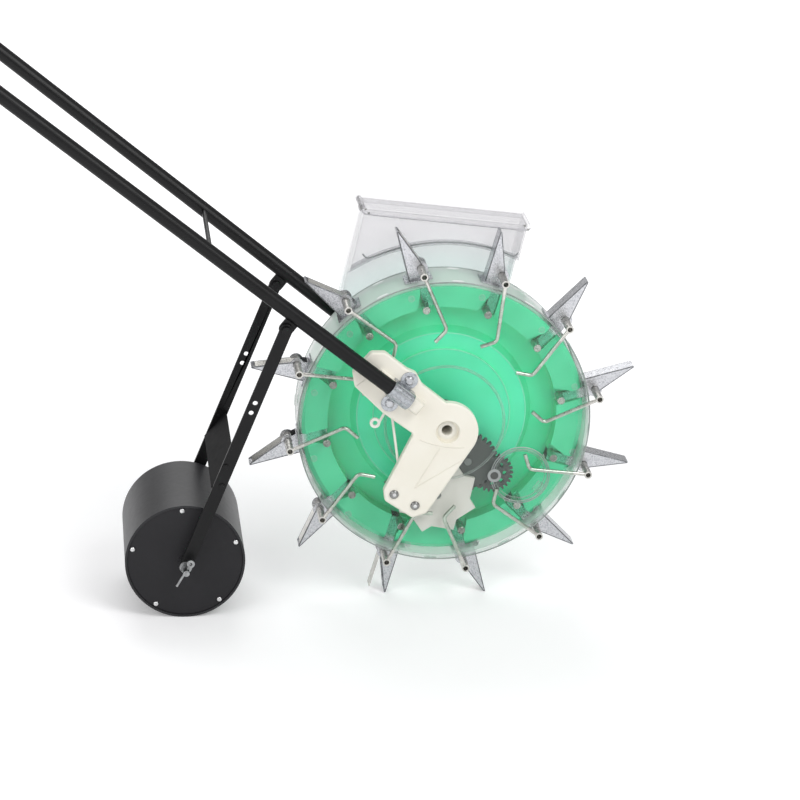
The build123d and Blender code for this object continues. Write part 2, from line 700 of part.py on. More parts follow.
def grip():
    """Ribbed rubber sleeve with a closed end."""
    plane = Plane(origin=HANDLE_END - GRIP_DIR * (GRIP_L - GRIP_CAP), z_dir=GRIP_DIR)
    pitch = GRIP_L / (GRIP_GROOVES + 1)
    profile = Pos(GRIP_R / 2, GRIP_L / 2) * Rectangle(GRIP_R, GRIP_L)
    profile = chamfer(profile.vertices().group_by(Axis.X)[-1], GRIP_CAP / 2)
    for k in range(1, GRIP_GROOVES + 1):
        profile -= Pos(GRIP_R, k * pitch) * Rot(0, 0, 45) * Rectangle(2 * GRIP_GROOVE, 2 * GRIP_GROOVE)
    sleeve = revolve(Plane.XZ * profile, axis=Axis.Z)
    bore = Cylinder(TUBE_R, GRIP_L - GRIP_CAP, align=(Align.CENTER, Align.CENTER, Align.MIN))
    return plane * (sleeve - bore)


# Brackets and saddle clamps, drawn on the right side and mirrored
BRACKET_SCREWS = [polar(BRACKET_SCREW_CIRCLE_R, angle) for angle in BRACKET_SCREW_ANGLES]
CLAMP_SCREWS = [shift(CLAMP, TUBE_ANGLE, 0, side * EAR_SPREAD) for side in (-1, 1)]
UPPER_ARM = [
    (0, 29), (67, 29), (83, 36), (96, 33), (132, 33), (146, 22), (148, -12.5), (134, -25.5), (83, -31), (33, -29)
]
LOWER_ARM = [(110, 24), (120.5, 15), (121, -28.5), (106, -40.5)]


def bracket_outline():
    """Boomerang outline round the axle boss. Each arm is drawn as steps along and across itself."""
    upper = [shift((0, 0), TUBE_ANGLE, *step) for step in UPPER_ARM]
    lower = [shift((0, 0), LOWER_ARM_ANGLE, *step) for step in LOWER_ARM]
    tangent = polar(BRACKET_BOSS_R, touch_angle(lower[-1], BRACKET_BOSS_R, 1))
    outline = Circle(BRACKET_BOSS_R) + Polygon(tangent, *upper, *lower, align=None)
    corners = outline.vertices().filter_by(lambda v: hypot(v.X, v.Y) > BRACKET_BOSS_R + RUNNING_GAP)
    return fillet(corners, BRACKET_FILLET)


def side_bracket():
    """Shallow ivory shell with ribs, a hub and screw posts at its back, and a cradle for the tube."""
    outline = bracket_outline()
    shell = prism(outline, -BRACKET_FACE, -SHELL_BACK)
    shell = chamfer(shell.faces().sort_by(Axis.Y)[0].edges(), BRACKET_EDGE)
    inside = BRACKET_SKIN - BRACKET_FACE
    rib = Rectangle(BRACKET_RIB_L, BRACKET_RIB_T, align=(Align.MIN, Align.CENTER))
    ribs = Sketch() + [Rot(0, 0, angle) * rib for angle in (TUBE_ANGLE, LOWER_ARM_ANGLE)]
    body = shell - prism(offset(outline, -BRACKET_WALL) - ribs, inside, -SHELL_BACK)
    posts = Sketch() + Circle(BRACKET_HUB_R)
    posts += [Pos(*screw) * Circle(SCREW_BOSS_R) for screw in BRACKET_SCREWS + CLAMP_SCREWS]
    body += prism(posts, inside - BRACKET_SKIN / 2, -BRACKET_BACK)
    foot = -TUBE_BELOW_CLAMP - RUNNING_GAP
    across = (-CRADLE_HALF_W, CRADLE_HALF_W)
    root = FACE_DEPTH + BRACKET_SKIN / 2
    stub = block(across, (FACE_DEPTH - STUB_H, root), (foot - STUB_L, foot))
    stub = chamfer(stub.faces().sort_by(Axis.Y)[0].edges(), STUB_EDGE)
    body += CLAMP_PLANE * (stub + block(across, (FACE_DEPTH - CRADLE_H, root), (foot, CRADLE_ABOVE)))
    body -= straight_tube_core(TUBE_R, TUBE_BELOW_CLAMP, TUBE_STRAIGHT / 2)
    body -= disc(AXLE_R, -AXLE_HALF_L, -BRACKET_BACK)
    body -= disc(COUNTERBORE_R, -BRACKET_FACE, -AXLE_HALF_L)
    for screw in BRACKET_SCREWS:
        body -= disc(SCREW_R, -BRACKET_FACE, -BRACKET_BACK, screw)
    for screw in CLAMP_SCREWS:
        body -= disc(SCREW_R, -BRACKET_FACE, CLAMP_SCREW_L - BRACKET_FACE, screw)
    return body


def tube_clamp():
    """Bent strap over the tube with two screw ears."""
    outer = TUBE_R + STRAP_T
    depth = FACE_DEPTH + STRAP_T
    band = Circle(outer) + Pos(0, depth / 2) * Rectangle(2 * outer, depth)
    channel = Circle(TUBE_R) + Pos(0, depth / 2) * Rectangle(2 * TUBE_R, depth)
    strap = CLAMP_PLANE * extrude(Pos(0, 0, -STRAP_HALF_W) * band, amount=2 * STRAP_HALF_W)
    for screw in CLAMP_SCREWS:
        strap += disc(STRAP_EAR_R, -BRACKET_FACE - STRAP_T, -BRACKET_FACE, screw)
    strap -= CLAMP_PLANE * extrude(Pos(0, 0, -outer * 2) * channel, amount=outer * 4)
    strap -= disc(outer * 4, -BRACKET_FACE, -BRACKET_BACK, CLAMP)
    for screw in CLAMP_SCREWS:
        strap -= disc(SCREW_R, -BRACKET_FACE - STRAP_T, -BRACKET_FACE, screw)
    return strap


def dome_screw(head_back, tip, place):
    """Screw with a domed head, driven from the right side."""
    head = disc(SCREW_HEAD_R, head_back - SCREW_HEAD_T, head_back, place)
    head = chamfer(head.edges().group_by(Axis.Y)[0], SCREW_HEAD_T * SCREW_DOME)
    return head + disc(SCREW_R, head_back, tip, place)


def clamp_screws():
    head_back = -BRACKET_FACE - STRAP_T
    return [dome_screw(head_back, CLAMP_SCREW_L - BRACKET_FACE, screw) for screw in CLAMP_SCREWS]


STRIKER_BACK = STRIKER_T - BRACKET_BACK


def striker():
    """Arc plate behind the bracket foot that the levers meet."""
    middle = sum(BRACKET_SCREW_ANGLES) / len(BRACKET_SCREW_ANGLES)
    wedge = Polygon(
        (0, 0),
        polar(2 * RIM_R, middle - STRIKER_SPAN / 2),
        polar(2 * RIM_R, middle + STRIKER_SPAN / 2),
        align=None,
    )
    arc = (Circle(STRIKER_OUTER_R) - Circle(STRIKER_INNER_R)) & wedge
    arc -= [Pos(*screw) * Circle(SCREW_R) for screw in BRACKET_SCREWS]
    return prism(arc, -BRACKET_BACK, STRIKER_BACK)


def bracket_screws():
    return [dome_screw(-BRACKET_FACE, STRIKER_BACK, screw) for screw in BRACKET_SCREWS]


def hairpin_wire():
    """Bent wire with an eye, lying along the back of the bracket."""
    y = WIRE_LIFT + WIRE_R - SHELL_BACK
    knee = (WIRE_TOP[0] + WIRE_EYE_R, WIRE_TOP[1])
    start = (WIRE_EYE[0] + WIRE_EYE_R, WIRE_EYE[1])
    wire = rod([start, WIRE_TOP, knee, WIRE_FOOT], y, WIRE_R, WIRE_FILLET / 2)
    return wire + ring(WIRE_EYE_R + WIRE_R, WIRE_EYE_R - WIRE_R, y - WIRE_R, y + WIRE_R, WIRE_EYE)


# Side plate, hopper and lid behind the drum
def seed_window(y_from, y_to):
    window = Pos(SEED_WINDOW_X, RIM_R - SEED_WINDOW_DROP) * Rectangle(SEED_WINDOW_W, SEED_WINDOW_H)
    return prism(window, y_from, y_to)


def side_plate():
    """Fixed plate that closes the drum and spaces it from the left bracket."""
    plate = disc(SIDE_PLATE_R, SIDE_PLATE_FACE, SIDE_PLATE_END)
    plate += disc(BRACKET_HUB_R, SIDE_PLATE_END, BRACKET_BACK)
    plate -= disc(AXLE_R, SIDE_PLATE_FACE, BRACKET_BACK)
    return plate - seed_window(SIDE_PLATE_FACE, SIDE_PLATE_END)


HOPPER_LEDGE_R = RIM_R + HOPPER_LEDGE_RISE
TOP_REAR = (HOPPER_TOP_REAR_X, RIM_R + HOPPER_TOP_REAR_RISE)
TOP_FRONT = (HOPPER_TOP_FRONT_X, RIM_R + HOPPER_TOP_FRONT_RISE)
SHOULDER_REAR = (HOPPER_SHOULDER_REAR_X, RIM_R - HOPPER_SHOULDER_REAR_DROP)
SHOULDER_FRONT = (HOPPER_SHOULDER_FRONT_X, RIM_R - HOPPER_SHOULDER_FRONT_DROP)
THROAT_REAR = (HOPPER_THROAT_REAR_X, RIM_R - HOPPER_THROAT_DROP)
THROAT_FRONT = (HOPPER_THROAT_FRONT_X, RIM_R - HOPPER_THROAT_DROP)


def heading(start, end):
    return degrees(atan2(end[1] - start[1], end[0] - start[0]))


LID_ANGLE = heading(TOP_REAR, TOP_FRONT)
LID_LENGTH = hypot(TOP_FRONT[0] - TOP_REAR[0], TOP_FRONT[1] - TOP_REAR[1])
LID_HINGE = shift(TOP_REAR, LID_ANGLE, -LID_KNUCKLE_R - RUNNING_GAP)


def hopper_outline(rise):
    """Hopper in side view, its open top raised along the end walls."""
    return Polygon(
        shift(TOP_REAR, heading(SHOULDER_REAR, TOP_REAR), rise),
        SHOULDER_REAR,
        THROAT_REAR,
        THROAT_FRONT,
        SHOULDER_FRONT,
        shift(TOP_FRONT, heading(SHOULDER_FRONT, TOP_FRONT), rise),
        align=None,
    )


def hopper_form(outline, wall):
    """Lower part behind the drum, upper part stepping forward over its rim."""
    form = prism(outline, SIDE_PLATE_END + wall, HOPPER_BACK - wall)
    upper = outline - Circle(HOPPER_LEDGE_R + wall)
    return form + prism(upper, HOPPER_FRONT + wall, HOPPER_BACK - wall)


def knuckle_spans():
    """Across ranges of the rear-end hinge: two hopper knuckles and the lid's between them."""
    first = HOPPER_FRONT + LID_KNUCKLE_END
    last = HOPPER_BACK - LID_KNUCKLE_END
    return (
        (first, first + LID_KNUCKLE_L),
        (last - LID_KNUCKLE_L, last),
        (first + LID_KNUCKLE_L + RUNNING_GAP, last - LID_KNUCKLE_L - RUNNING_GAP),
    )


def hopper():
    inner_outline = offset(hopper_outline(LID_LIP_H), -HOPPER_WALL)
    shell = hopper_form(hopper_outline(0), 0) - hopper_form(inner_outline, HOPPER_WALL)
    web = Pos(*shift(LID_HINGE, LID_ANGLE, LID_KNUCKLE_R / 2, LID_KNUCKLE_R / 2))
    web *= Rot(0, 0, LID_ANGLE) * Rectangle(LID_KNUCKLE_R + 2 * RUNNING_GAP, LID_KNUCKLE_R)
    for span in knuckle_spans()[:2]:
        shell += disc(LID_KNUCKLE_R, *span, LID_HINGE) + prism(web, *span)
        shell -= disc(LID_PIN_R, *span, LID_HINGE)
    return shell - seed_window(SIDE_PLATE_END, SIDE_PLATE_END + HOPPER_WALL)


def hopper_lid():
    """Flat lid with side lips and a hinge knuckle at its rear end."""
    def flat(start, end, low, high):
        place = shift(LID_HINGE, LID_ANGLE, (start + end) / 2, -(low + high) / 2)
        return Pos(*place) * Rot(0, 0, LID_ANGLE) * Rectangle(end - start, high - low)

    reach = LID_LENGTH + LID_KNUCKLE_R + LID_NOSE
    lip = LID_LIP_GAP + LID_LIP_T
    base = RUNNING_GAP
    span = knuckle_spans()[2]
    plate = flat(0, reach, base, base + LID_T)
    lid = prism(plate, HOPPER_FRONT - lip, HOPPER_BACK + lip)
    side = flat(LID_KNUCKLE_R, reach, base - LID_LIP_H, base)
    lid += prism(side, HOPPER_FRONT - lip, HOPPER_FRONT - LID_LIP_GAP)
    lid += prism(side, HOPPER_BACK + LID_LIP_GAP, HOPPER_BACK + lip)
    for knuckle in knuckle_spans()[:2]:
        lid -= disc(LID_KNUCKLE_R + RUNNING_GAP, knuckle[0] - RUNNING_GAP, knuckle[1] + RUNNING_GAP, LID_HINGE)
    lid += disc(LID_KNUCKLE_R, *span, LID_HINGE)
    return lid - disc(LID_PIN_R + RUNNING_GAP, *span, LID_HINGE)


def lid_pin():
    front, back, _ = knuckle_spans()
    return disc(LID_PIN_R, front[0], back[1], LID_HINGE)


# Fork and press roller
ROLLER_CENTRE = shift(PIVOT, LEG_ANGLE, LEG_LENGTH)
LEG_HOLES = [shift(PIVOT, LEG_ANGLE, LEG_HOLE_ALONG + k * LEG_HOLE_PITCH) for k in range(2)]
BRACE_FOOT = shift(PIVOT, LEG_ANGLE, BRACE_START, BRACE_OFFSET)
BRACE_ANGLE = LEG_ANGLE + 180 - BRACE_TILT
BRACE_SCREWS = [
    shift(PIVOT, LEG_ANGLE, BRACE_START + along, across) for along, across in BRACE_SCREW_STEPS
]


def fork_leg():
    """Flat strip with round ends, pivot hole, two spare holes and axle hole."""
    middle = shift(PIVOT, LEG_ANGLE, LEG_LENGTH / 2)
    strip = Pos(*middle) * Rot(0, 0, LEG_ANGLE) * SlotCenterToCenter(LEG_LENGTH, 2 * LEG_HALF_W)
    strip -= Pos(*PIVOT) * Circle(PIVOT_R + RUNNING_GAP)
    strip -= Pos(*ROLLER_CENTRE) * Circle(ROLLER_AXLE_R)
    strip -= [Pos(*hole) * Circle(LEG_HOLE_R) for hole in LEG_HOLES]
    strip -= [Pos(*screw) * Circle(BRACE_SCREW_R) for screw in BRACE_SCREWS]
    return prism(strip, -LEG_OUTER, -LEG_INNER)


def pivot_bolts():
    head_back = -LEG_OUTER - RUNNING_GAP
    bolt = disc(PIVOT_R, head_back, -LUG_INNER, PIVOT)
    bolt += disc(PIVOT_HEAD_R, head_back - PIVOT_HEAD_T, head_back, PIVOT)
    bolt += disc(PIVOT_HEAD_R, -LUG_INNER, -LUG_INNER + PIVOT_HEAD_T, PIVOT)
    return [bolt, other_side(bolt)]


def fork_brace():
    """Slanting plate between the legs with a screwed tab at each end."""
    start = shift(BRACE_FOOT, BRACE_ANGLE, BRACE_LENGTH / 2)
    plate = Pos(*start) * Rot(0, 0, BRACE_ANGLE) * Rectangle(BRACE_LENGTH, BRACE_T)
    tab_mid = shift(PIVOT, LEG_ANGLE, BRACE_START - BRACE_LENGTH / 2)
    tab = Pos(*tab_mid) * Rot(0, 0, LEG_ANGLE) * Rectangle(BRACE_LENGTH, BRACE_TAB_W)
    tab -= [Pos(*screw) * Circle(BRACE_SCREW_R) for screw in BRACE_SCREWS]
    brace = prism(plate, -LEG_INNER, LEG_INNER)
    brace += prism(tab, -LEG_INNER, BRACE_TAB_T - LEG_INNER)
    return brace + prism(tab, LEG_INNER - BRACE_TAB_T, LEG_INNER)


def brace_screws():
    screws = []
    for place in BRACE_SCREWS:
        screw = disc(BRACE_SCREW_R, -LEG_OUTER, BRACE_TAB_T - LEG_INNER, place)
        screw += disc(BRACE_SCREW_HEAD_R, -LEG_OUTER - BRACE_SCREW_HEAD_T, -LEG_OUTER, place)
        screws += [screw, other_side(screw)]
    return screws


DISC_OUTER = ROLLER_HALF_W - DISC_INSET
DISC_INNER = DISC_OUTER - DISC_T
DISC_EDGE_R = ROLLER_R - ROLLER_WALL
DISC_SCREW_STEP = 360 / DISC_SCREWS
SCREW_PLACES = [
    shift(ROLLER_CENTRE, DISC_SCREW_ANGLE + k * DISC_SCREW_STEP, DISC_SCREW_CIRCLE_R)
    for k in range(DISC_SCREWS)
]


def roller_shell():
    """Rolled tube with a flange inside each end for the disc screws."""
    shell = ring(ROLLER_R, DISC_EDGE_R, -ROLLER_HALF_W, ROLLER_HALF_W, ROLLER_CENTRE)
    flange_r = DISC_EDGE_R - ROLLER_FLANGE
    flange = ring(DISC_EDGE_R, flange_r, -DISC_INNER, DISC_T - DISC_INNER, ROLLER_CENTRE)
    for place in SCREW_PLACES:
        flange -= disc(DISC_SCREW_R, -DISC_INNER, DISC_T - DISC_INNER, place)
    return shell + flange + other_side(flange)


def roller_disc():
    end = disc(DISC_EDGE_R, -DISC_OUTER, -DISC_INNER, ROLLER_CENTRE)
    end += disc(DISC_HUB_R, -DISC_INNER, DISC_HUB_L - DISC_INNER, ROLLER_CENTRE)
    for place in SCREW_PLACES:
        end -= disc(DISC_SCREW_R, -DISC_OUTER, -DISC_INNER, place)
    return end - disc(ROLLER_AXLE_R + RUNNING_GAP, -DISC_OUTER, DISC_HUB_L - DISC_INNER, ROLLER_CENTRE)


def roller_screws():
    screws = []
    for place in SCREW_PLACES:
        screw = disc(DISC_SCREW_R, -DISC_OUTER, DISC_T - DISC_INNER, place)
        screw += disc(DISC_SCREW_HEAD_R, -DISC_OUTER - DISC_SCREW_HEAD_T, -DISC_OUTER, place)
        screws += [screw, other_side(screw)]
    return screws


PIN_Y = -LEG_OUTER - PIN_OUT


def pin_wire():
    """Straight wire of the split pin, through the right end of the axle bolt."""
    wire = Rot(0, 90, 0) * Cylinder(PIN_R, PIN_TAIL + PIN_HEAD)
    wire = Pos(ROLLER_CENTRE[0] + (PIN_TAIL - PIN_HEAD) / 2, PIN_Y, ROLLER_CENTRE[1]) * wire
    return turned(wire, PIN_ANGLE, ROLLER_CENTRE)


def roller_axle():
    """Plain bolt, cross-drilled at both ends."""
    end = LEG_OUTER + ROLLER_AXLE_OVERHANG
    bolt = disc(ROLLER_AXLE_R, -end, end, ROLLER_CENTRE)
    return bolt - pin_wire() - other_side(pin_wire())


def roller_spacers():
    spacer = ring(SPACER_R, ROLLER_AXLE_R, -LEG_INNER, -DISC_OUTER - RUNNING_GAP, ROLLER_CENTRE)
    return [spacer, other_side(spacer)]


def split_pins():
    """Wire pin with an eye at each end of the bolt, and the washer between pin and leg."""
    eye_centre = shift(ROLLER_CENTRE, PIN_ANGLE, -PIN_HEAD - PIN_EYE_R)
    eye = ring(PIN_EYE_R + PIN_R, PIN_EYE_R - PIN_R, PIN_Y - PIN_R, PIN_Y + PIN_R, eye_centre)
    washer = ring(WASHER_R, ROLLER_AXLE_R, -LEG_OUTER - WASHER_T, -LEG_OUTER, ROLLER_CENTRE)
    pieces = [pin_wire() + eye, washer]
    return pieces + [other_side(piece) for piece in pieces]


def write_parts():
    tube = handle_tube()
    bracket = side_bracket()
    clamp = tube_clamp()
    leg = fork_leg()
    end_disc = roller_disc()
    sleeve = grip()
    screws = clamp_screws()
    foot_screws = bracket_screws()
    nodes = {
        "axle": axle(),
        "bracket_right": bracket,
        "bracket_left": other_side(bracket),
        "tube_right": tube,
        "tube_left": other_side(tube),
        "tube_clamps": [clamp, other_side(clamp)],
        "clamp_screws": screws + [other_side(screw) for screw in screws],
        "bracket_screws": foot_screws,
        "cross_rod": cross_rod(),
        "grip_right": sleeve,
        "grip_left": other_side(sleeve),
        "side_plate": side_plate(),
        "hopper": hopper(),
        "lid_pin": lid_pin(),
        "gear_carrier": gear_carrier(),
        "gear_shafts": gear_shafts(),
        "striker": striker(),
        "hairpin_wire": hairpin_wire(),
        "pivot_bolts": pivot_bolts(),
        "front_cover": front_cover(),
        "rear_ring": rear_ring(),
        "seed_wheel": seed_wheel(),
        "drum_bushes": drum_bushes(),
        "drive_pegs": drive_pegs(),
        "fixed_beaks": around(fixed_beak(), BEAK_COUNT, FIRST_BEAK_ANGLE),
        "door_pin": door_pin(),
        "clean_out_door": clean_out_door(),
        "star_wheel": star_wheel(),
        "metering_gear": metering_gear(),
        "feed_wheel": feed_wheel(),
        "fork_leg_right": leg,
        "fork_leg_left": other_side(leg),
        "fork_brace": fork_brace(),
        "brace_screws": brace_screws(),
        "roller_axle": roller_axle(),
        "roller_spacers": roller_spacers(),
        "split_pins": split_pins(),
        "roller_shell": roller_shell(),
        "roller_disc_right": end_disc,
        "roller_disc_left": other_side(end_disc),
        "roller_screws": roller_screws(),
        "hopper_lid": hopper_lid(),
    }
    for index in range(BEAK_COUNT):
        nodes[f"flap_{index + 1:02d}"] = flap_at(index)
    os.makedirs("parts", exist_ok=True)
    for name, piece in nodes.items():
        shape = Compound(piece) if isinstance(piece, list) else piece
        export_step(shape, f"parts/{name}.step")


write_parts()
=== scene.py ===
# %% [markdown]
# # A walk-behind seed planter
# A hand-pushed planter rolls on a drum of steel beaks. Each beak pushes a hole, and its flap opens to
# drop seed. The solid model gives every piece its size and place. This lesson dresses those pieces: it
# rounds their edges, gives each material its grain, and lights them on a pale floor.

# %% Load the frame
import json
import math

import bmesh
import bpy
from mathutils import Matrix, Vector


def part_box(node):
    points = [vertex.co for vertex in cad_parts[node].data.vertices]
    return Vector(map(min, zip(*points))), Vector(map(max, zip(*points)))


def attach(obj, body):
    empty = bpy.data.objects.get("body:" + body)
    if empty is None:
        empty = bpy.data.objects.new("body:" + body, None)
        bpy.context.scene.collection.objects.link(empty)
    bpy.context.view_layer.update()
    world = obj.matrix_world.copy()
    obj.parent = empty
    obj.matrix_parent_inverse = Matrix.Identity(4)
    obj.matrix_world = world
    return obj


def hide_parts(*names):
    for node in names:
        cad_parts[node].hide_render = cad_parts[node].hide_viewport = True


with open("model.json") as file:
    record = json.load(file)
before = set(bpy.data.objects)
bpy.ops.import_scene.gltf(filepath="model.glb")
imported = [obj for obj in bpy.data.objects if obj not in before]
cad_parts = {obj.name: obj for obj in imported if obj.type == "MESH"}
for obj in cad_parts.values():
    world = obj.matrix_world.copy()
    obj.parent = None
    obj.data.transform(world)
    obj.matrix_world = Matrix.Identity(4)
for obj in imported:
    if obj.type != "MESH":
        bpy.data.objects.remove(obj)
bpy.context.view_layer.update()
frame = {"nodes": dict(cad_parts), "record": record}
nodes = frame["nodes"]
MM = 0.001

# %% [markdown]
# ## Camera
# The photograph was taken from the planter's right side with a long lens, from a little above and behind
# the axle. A camera is easiest to place by what it looks at: a target, two angles, a small roll and a
# distance.

# %% Camera
AIM = Vector((-54.06, 0, 17.95)) * MM
AZIMUTH = math.radians(-6.78)
ELEVATION = math.radians(19.74)
ROLL = math.radians(1.89)
DISTANCE = 3883.2 * MM
FOCAL_PX = 3000
PHOTO_PX = 800
SENSOR_MM = 36


def shown(name, data):
    """A new object with that data, linked into the scene."""
    obj = bpy.data.objects.new(name, data)
    bpy.context.scene.collection.objects.link(obj)
    return obj


def aimed_camera():
    back = Vector((
        math.sin(AZIMUTH) * math.cos(ELEVATION),
        -math.cos(AZIMUTH) * math.cos(ELEVATION),
        math.sin(ELEVATION),
    ))
    level = Vector((math.cos(AZIMUTH), math.sin(AZIMUTH), 0))
    upright = back.cross(level)
    right = level * math.cos(ROLL) + upright * math.sin(ROLL)
    up = upright * math.cos(ROLL) - level * math.sin(ROLL)
    data = bpy.data.cameras.new("photo_camera")
    data.sensor_width = SENSOR_MM
    data.lens = SENSOR_MM * FOCAL_PX / PHOTO_PX
    camera = shown("photo_camera", data)
    turn = Matrix((right, up, back)).transposed().to_4x4()
    camera.matrix_world = Matrix.Translation(AIM + back * DISTANCE) @ turn
    return camera


bpy.context.scene.camera = aimed_camera()
print("lens", round(bpy.context.scene.camera.data.lens, 1), "mm")

# %% [markdown]
# ## Helpers for node trees
# Materials, the sky and Geometry Nodes are all trees of nodes. The same few moves come back in each of
# them: to give a socket a link or a value, to do a calculation, to stretch one range of numbers over
# another, and to ask how far a point lies from the origin. Written once, they keep the cells below short.


# %% Node helpers
def spaced(keyword):
    """A socket's name from a keyword, which can't hold a space."""
    return keyword.replace("_", " ")


def feed(tree, socket, value):
    """Gives a node's socket a link or a plain value."""
    if isinstance(value, bpy.types.NodeSocket):
        tree.links.new(value, socket)
    else:
        socket.default_value = value


def calculated(tree, operation, *values):
    """The result of one operation on links or plain numbers."""
    node = tree.nodes.new("ShaderNodeMath")
    node.operation = operation
    for socket, value in zip(node.inputs, values):
        feed(tree, socket, value)
    return node.outputs["Value"]


def mapped(tree, value, start, end, low, high):
    """A number that runs from low to high while the value runs from start to end."""
    span = tree.nodes.new("ShaderNodeMapRange")
    given = {"Value": value, "From Min": start, "From Max": end, "To Min": low, "To Max": high}
    for name, number in given.items():
        feed(tree, span.inputs[name], number)
    return span.outputs["Result"]


def distance_out(tree, kept_axes):
    """How far a point of the object lies from its origin, measured along the kept axes."""
    place = tree.nodes.new("ShaderNodeTexCoord")
    kept = tree.nodes.new("ShaderNodeVectorMath")
    kept.operation = "MULTIPLY"
    feed(tree, kept.inputs[0], place.outputs["Object"])
    feed(tree, kept.inputs[1], kept_axes)
    length = tree.nodes.new("ShaderNodeVectorMath")
    length.operation = "LENGTH"
    feed(tree, length.inputs[0], kept.outputs["Vector"])
    return length.outputs["Value"]


# %% [markdown]
# ## Studio
# The planter stands on a seamless white floor. The floor is a plain diffuse plane that also glows a
# little, but only for the camera and for reflections, so it reads white and keeps the soft shadow. A
# clear sheet hands the camera's ray on, so the floor reads white through it too.

# %% Studio floor
WHITE = (1, 1, 1, 1)
FLOOR_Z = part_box("roller_shell")[0].z
FLOOR_SIZE = 30
FLOOR_COLOUR = (0.86, 0.86, 0.87, 1)
FLOOR_ROUGHNESS = 0.9
FLOOR_GLOSS = 0.1
NEAR_GLOW = 0.2
FAR_GLOW = 0.6
GLOW_FROM = 0.6
GLOW_TO = 2.4
ALL_AXES = (1, 1, 1)


def studio_paper():
    paper = bpy.data.materials.new("studio_paper")
    paper.use_nodes = True
    tree = paper.node_tree
    surface = tree.nodes["Principled BSDF"].inputs
    surface["Base Color"].default_value = FLOOR_COLOUR
    surface["Roughness"].default_value = FLOOR_ROUGHNESS
    surface["Specular IOR Level"].default_value = FLOOR_GLOSS
    surface["Emission Color"].default_value = WHITE
    glow = mapped(tree, distance_out(tree, ALL_AXES), GLOW_FROM, GLOW_TO, NEAR_GLOW, FAR_GLOW)
    path = tree.nodes.new("ShaderNodeLightPath").outputs
    seen = calculated(tree, "MAXIMUM", path["Is Camera Ray"], path["Is Glossy Ray"])
    feed(tree, surface["Emission Strength"], calculated(tree, "MULTIPLY", seen, glow))
    return paper


def studio_floor():
    mesh = bpy.data.meshes.new("studio_floor")
    half = FLOOR_SIZE / 2
    corners = [(-half, -half), (half, -half), (half, half), (-half, half)]
    mesh.from_pydata([(x, y, FLOOR_Z) for x, y in corners], [], [(0, 1, 2, 3)])
    mesh.materials.append(studio_paper())
    floor = shown("studio_floor", mesh)


studio_floor()
print("floor at", round(FLOOR_Z, 4))

# %% [markdown]
# ## Lamps and sky
# Three large area lamps give the broad highlights of a light tent: one in front, one to fill the shadows
# and one behind. Small lamps would give hard shadows and sharp glints. The sky is white where the camera
# sees it and half as strong where it lights the planter.

# %% Lamps and sky
SKY_LIGHT = 0.5
SKY_SEEN = 1.0
LAMPS = {
    "key_lamp": {"place": (1.6, -2.2, 2.6), "size": 1.8, "watts": 62},
    "fill_lamp": {"place": (-2.4, -2.4, 1.8), "size": 2.4, "watts": 36},
    "back_lamp": {"place": (-0.4, 2.4, 2.4), "size": 2.0, "watts": 40},
}


def sky():
    world = bpy.data.worlds.new("studio_sky")
    world.use_nodes = True
    tree = world.node_tree
    background = tree.nodes["Background"].inputs
    background["Color"].default_value = WHITE
    path = tree.nodes.new("ShaderNodeLightPath").outputs
    feed(tree, background["Strength"], mapped(tree, path["Is Camera Ray"], 0, 1, SKY_LIGHT, SKY_SEEN))
    bpy.context.scene.world = world


def soft_lamp(name, place, size, watts):
    """A square soft box that faces the drum."""
    data = bpy.data.lights.new(name, "AREA")
    data.size = size
    data.energy = watts
    lamp = shown(name, data)
    lamp.location = place
    lamp.rotation_euler = (AIM - Vector(place)).to_track_quat("-Z", "Y").to_euler()


sky()
for lamp_name, lamp_values in LAMPS.items():
    soft_lamp(lamp_name, **lamp_values)
bpy.context.scene.view_settings.view_transform = "Standard"
print("lamps", len(LAMPS))

# %% [markdown]
# ## Materials
# Every finish is one Principled shader fed by noise in object space, so its grain keeps its real size on
# each piece. A small class keeps the node trees short: it starts a material, lays a noise or cell
# pattern, and maps that pattern to a colour, a number or a bump.

# %% Material class
NOISE_DETAIL = 4


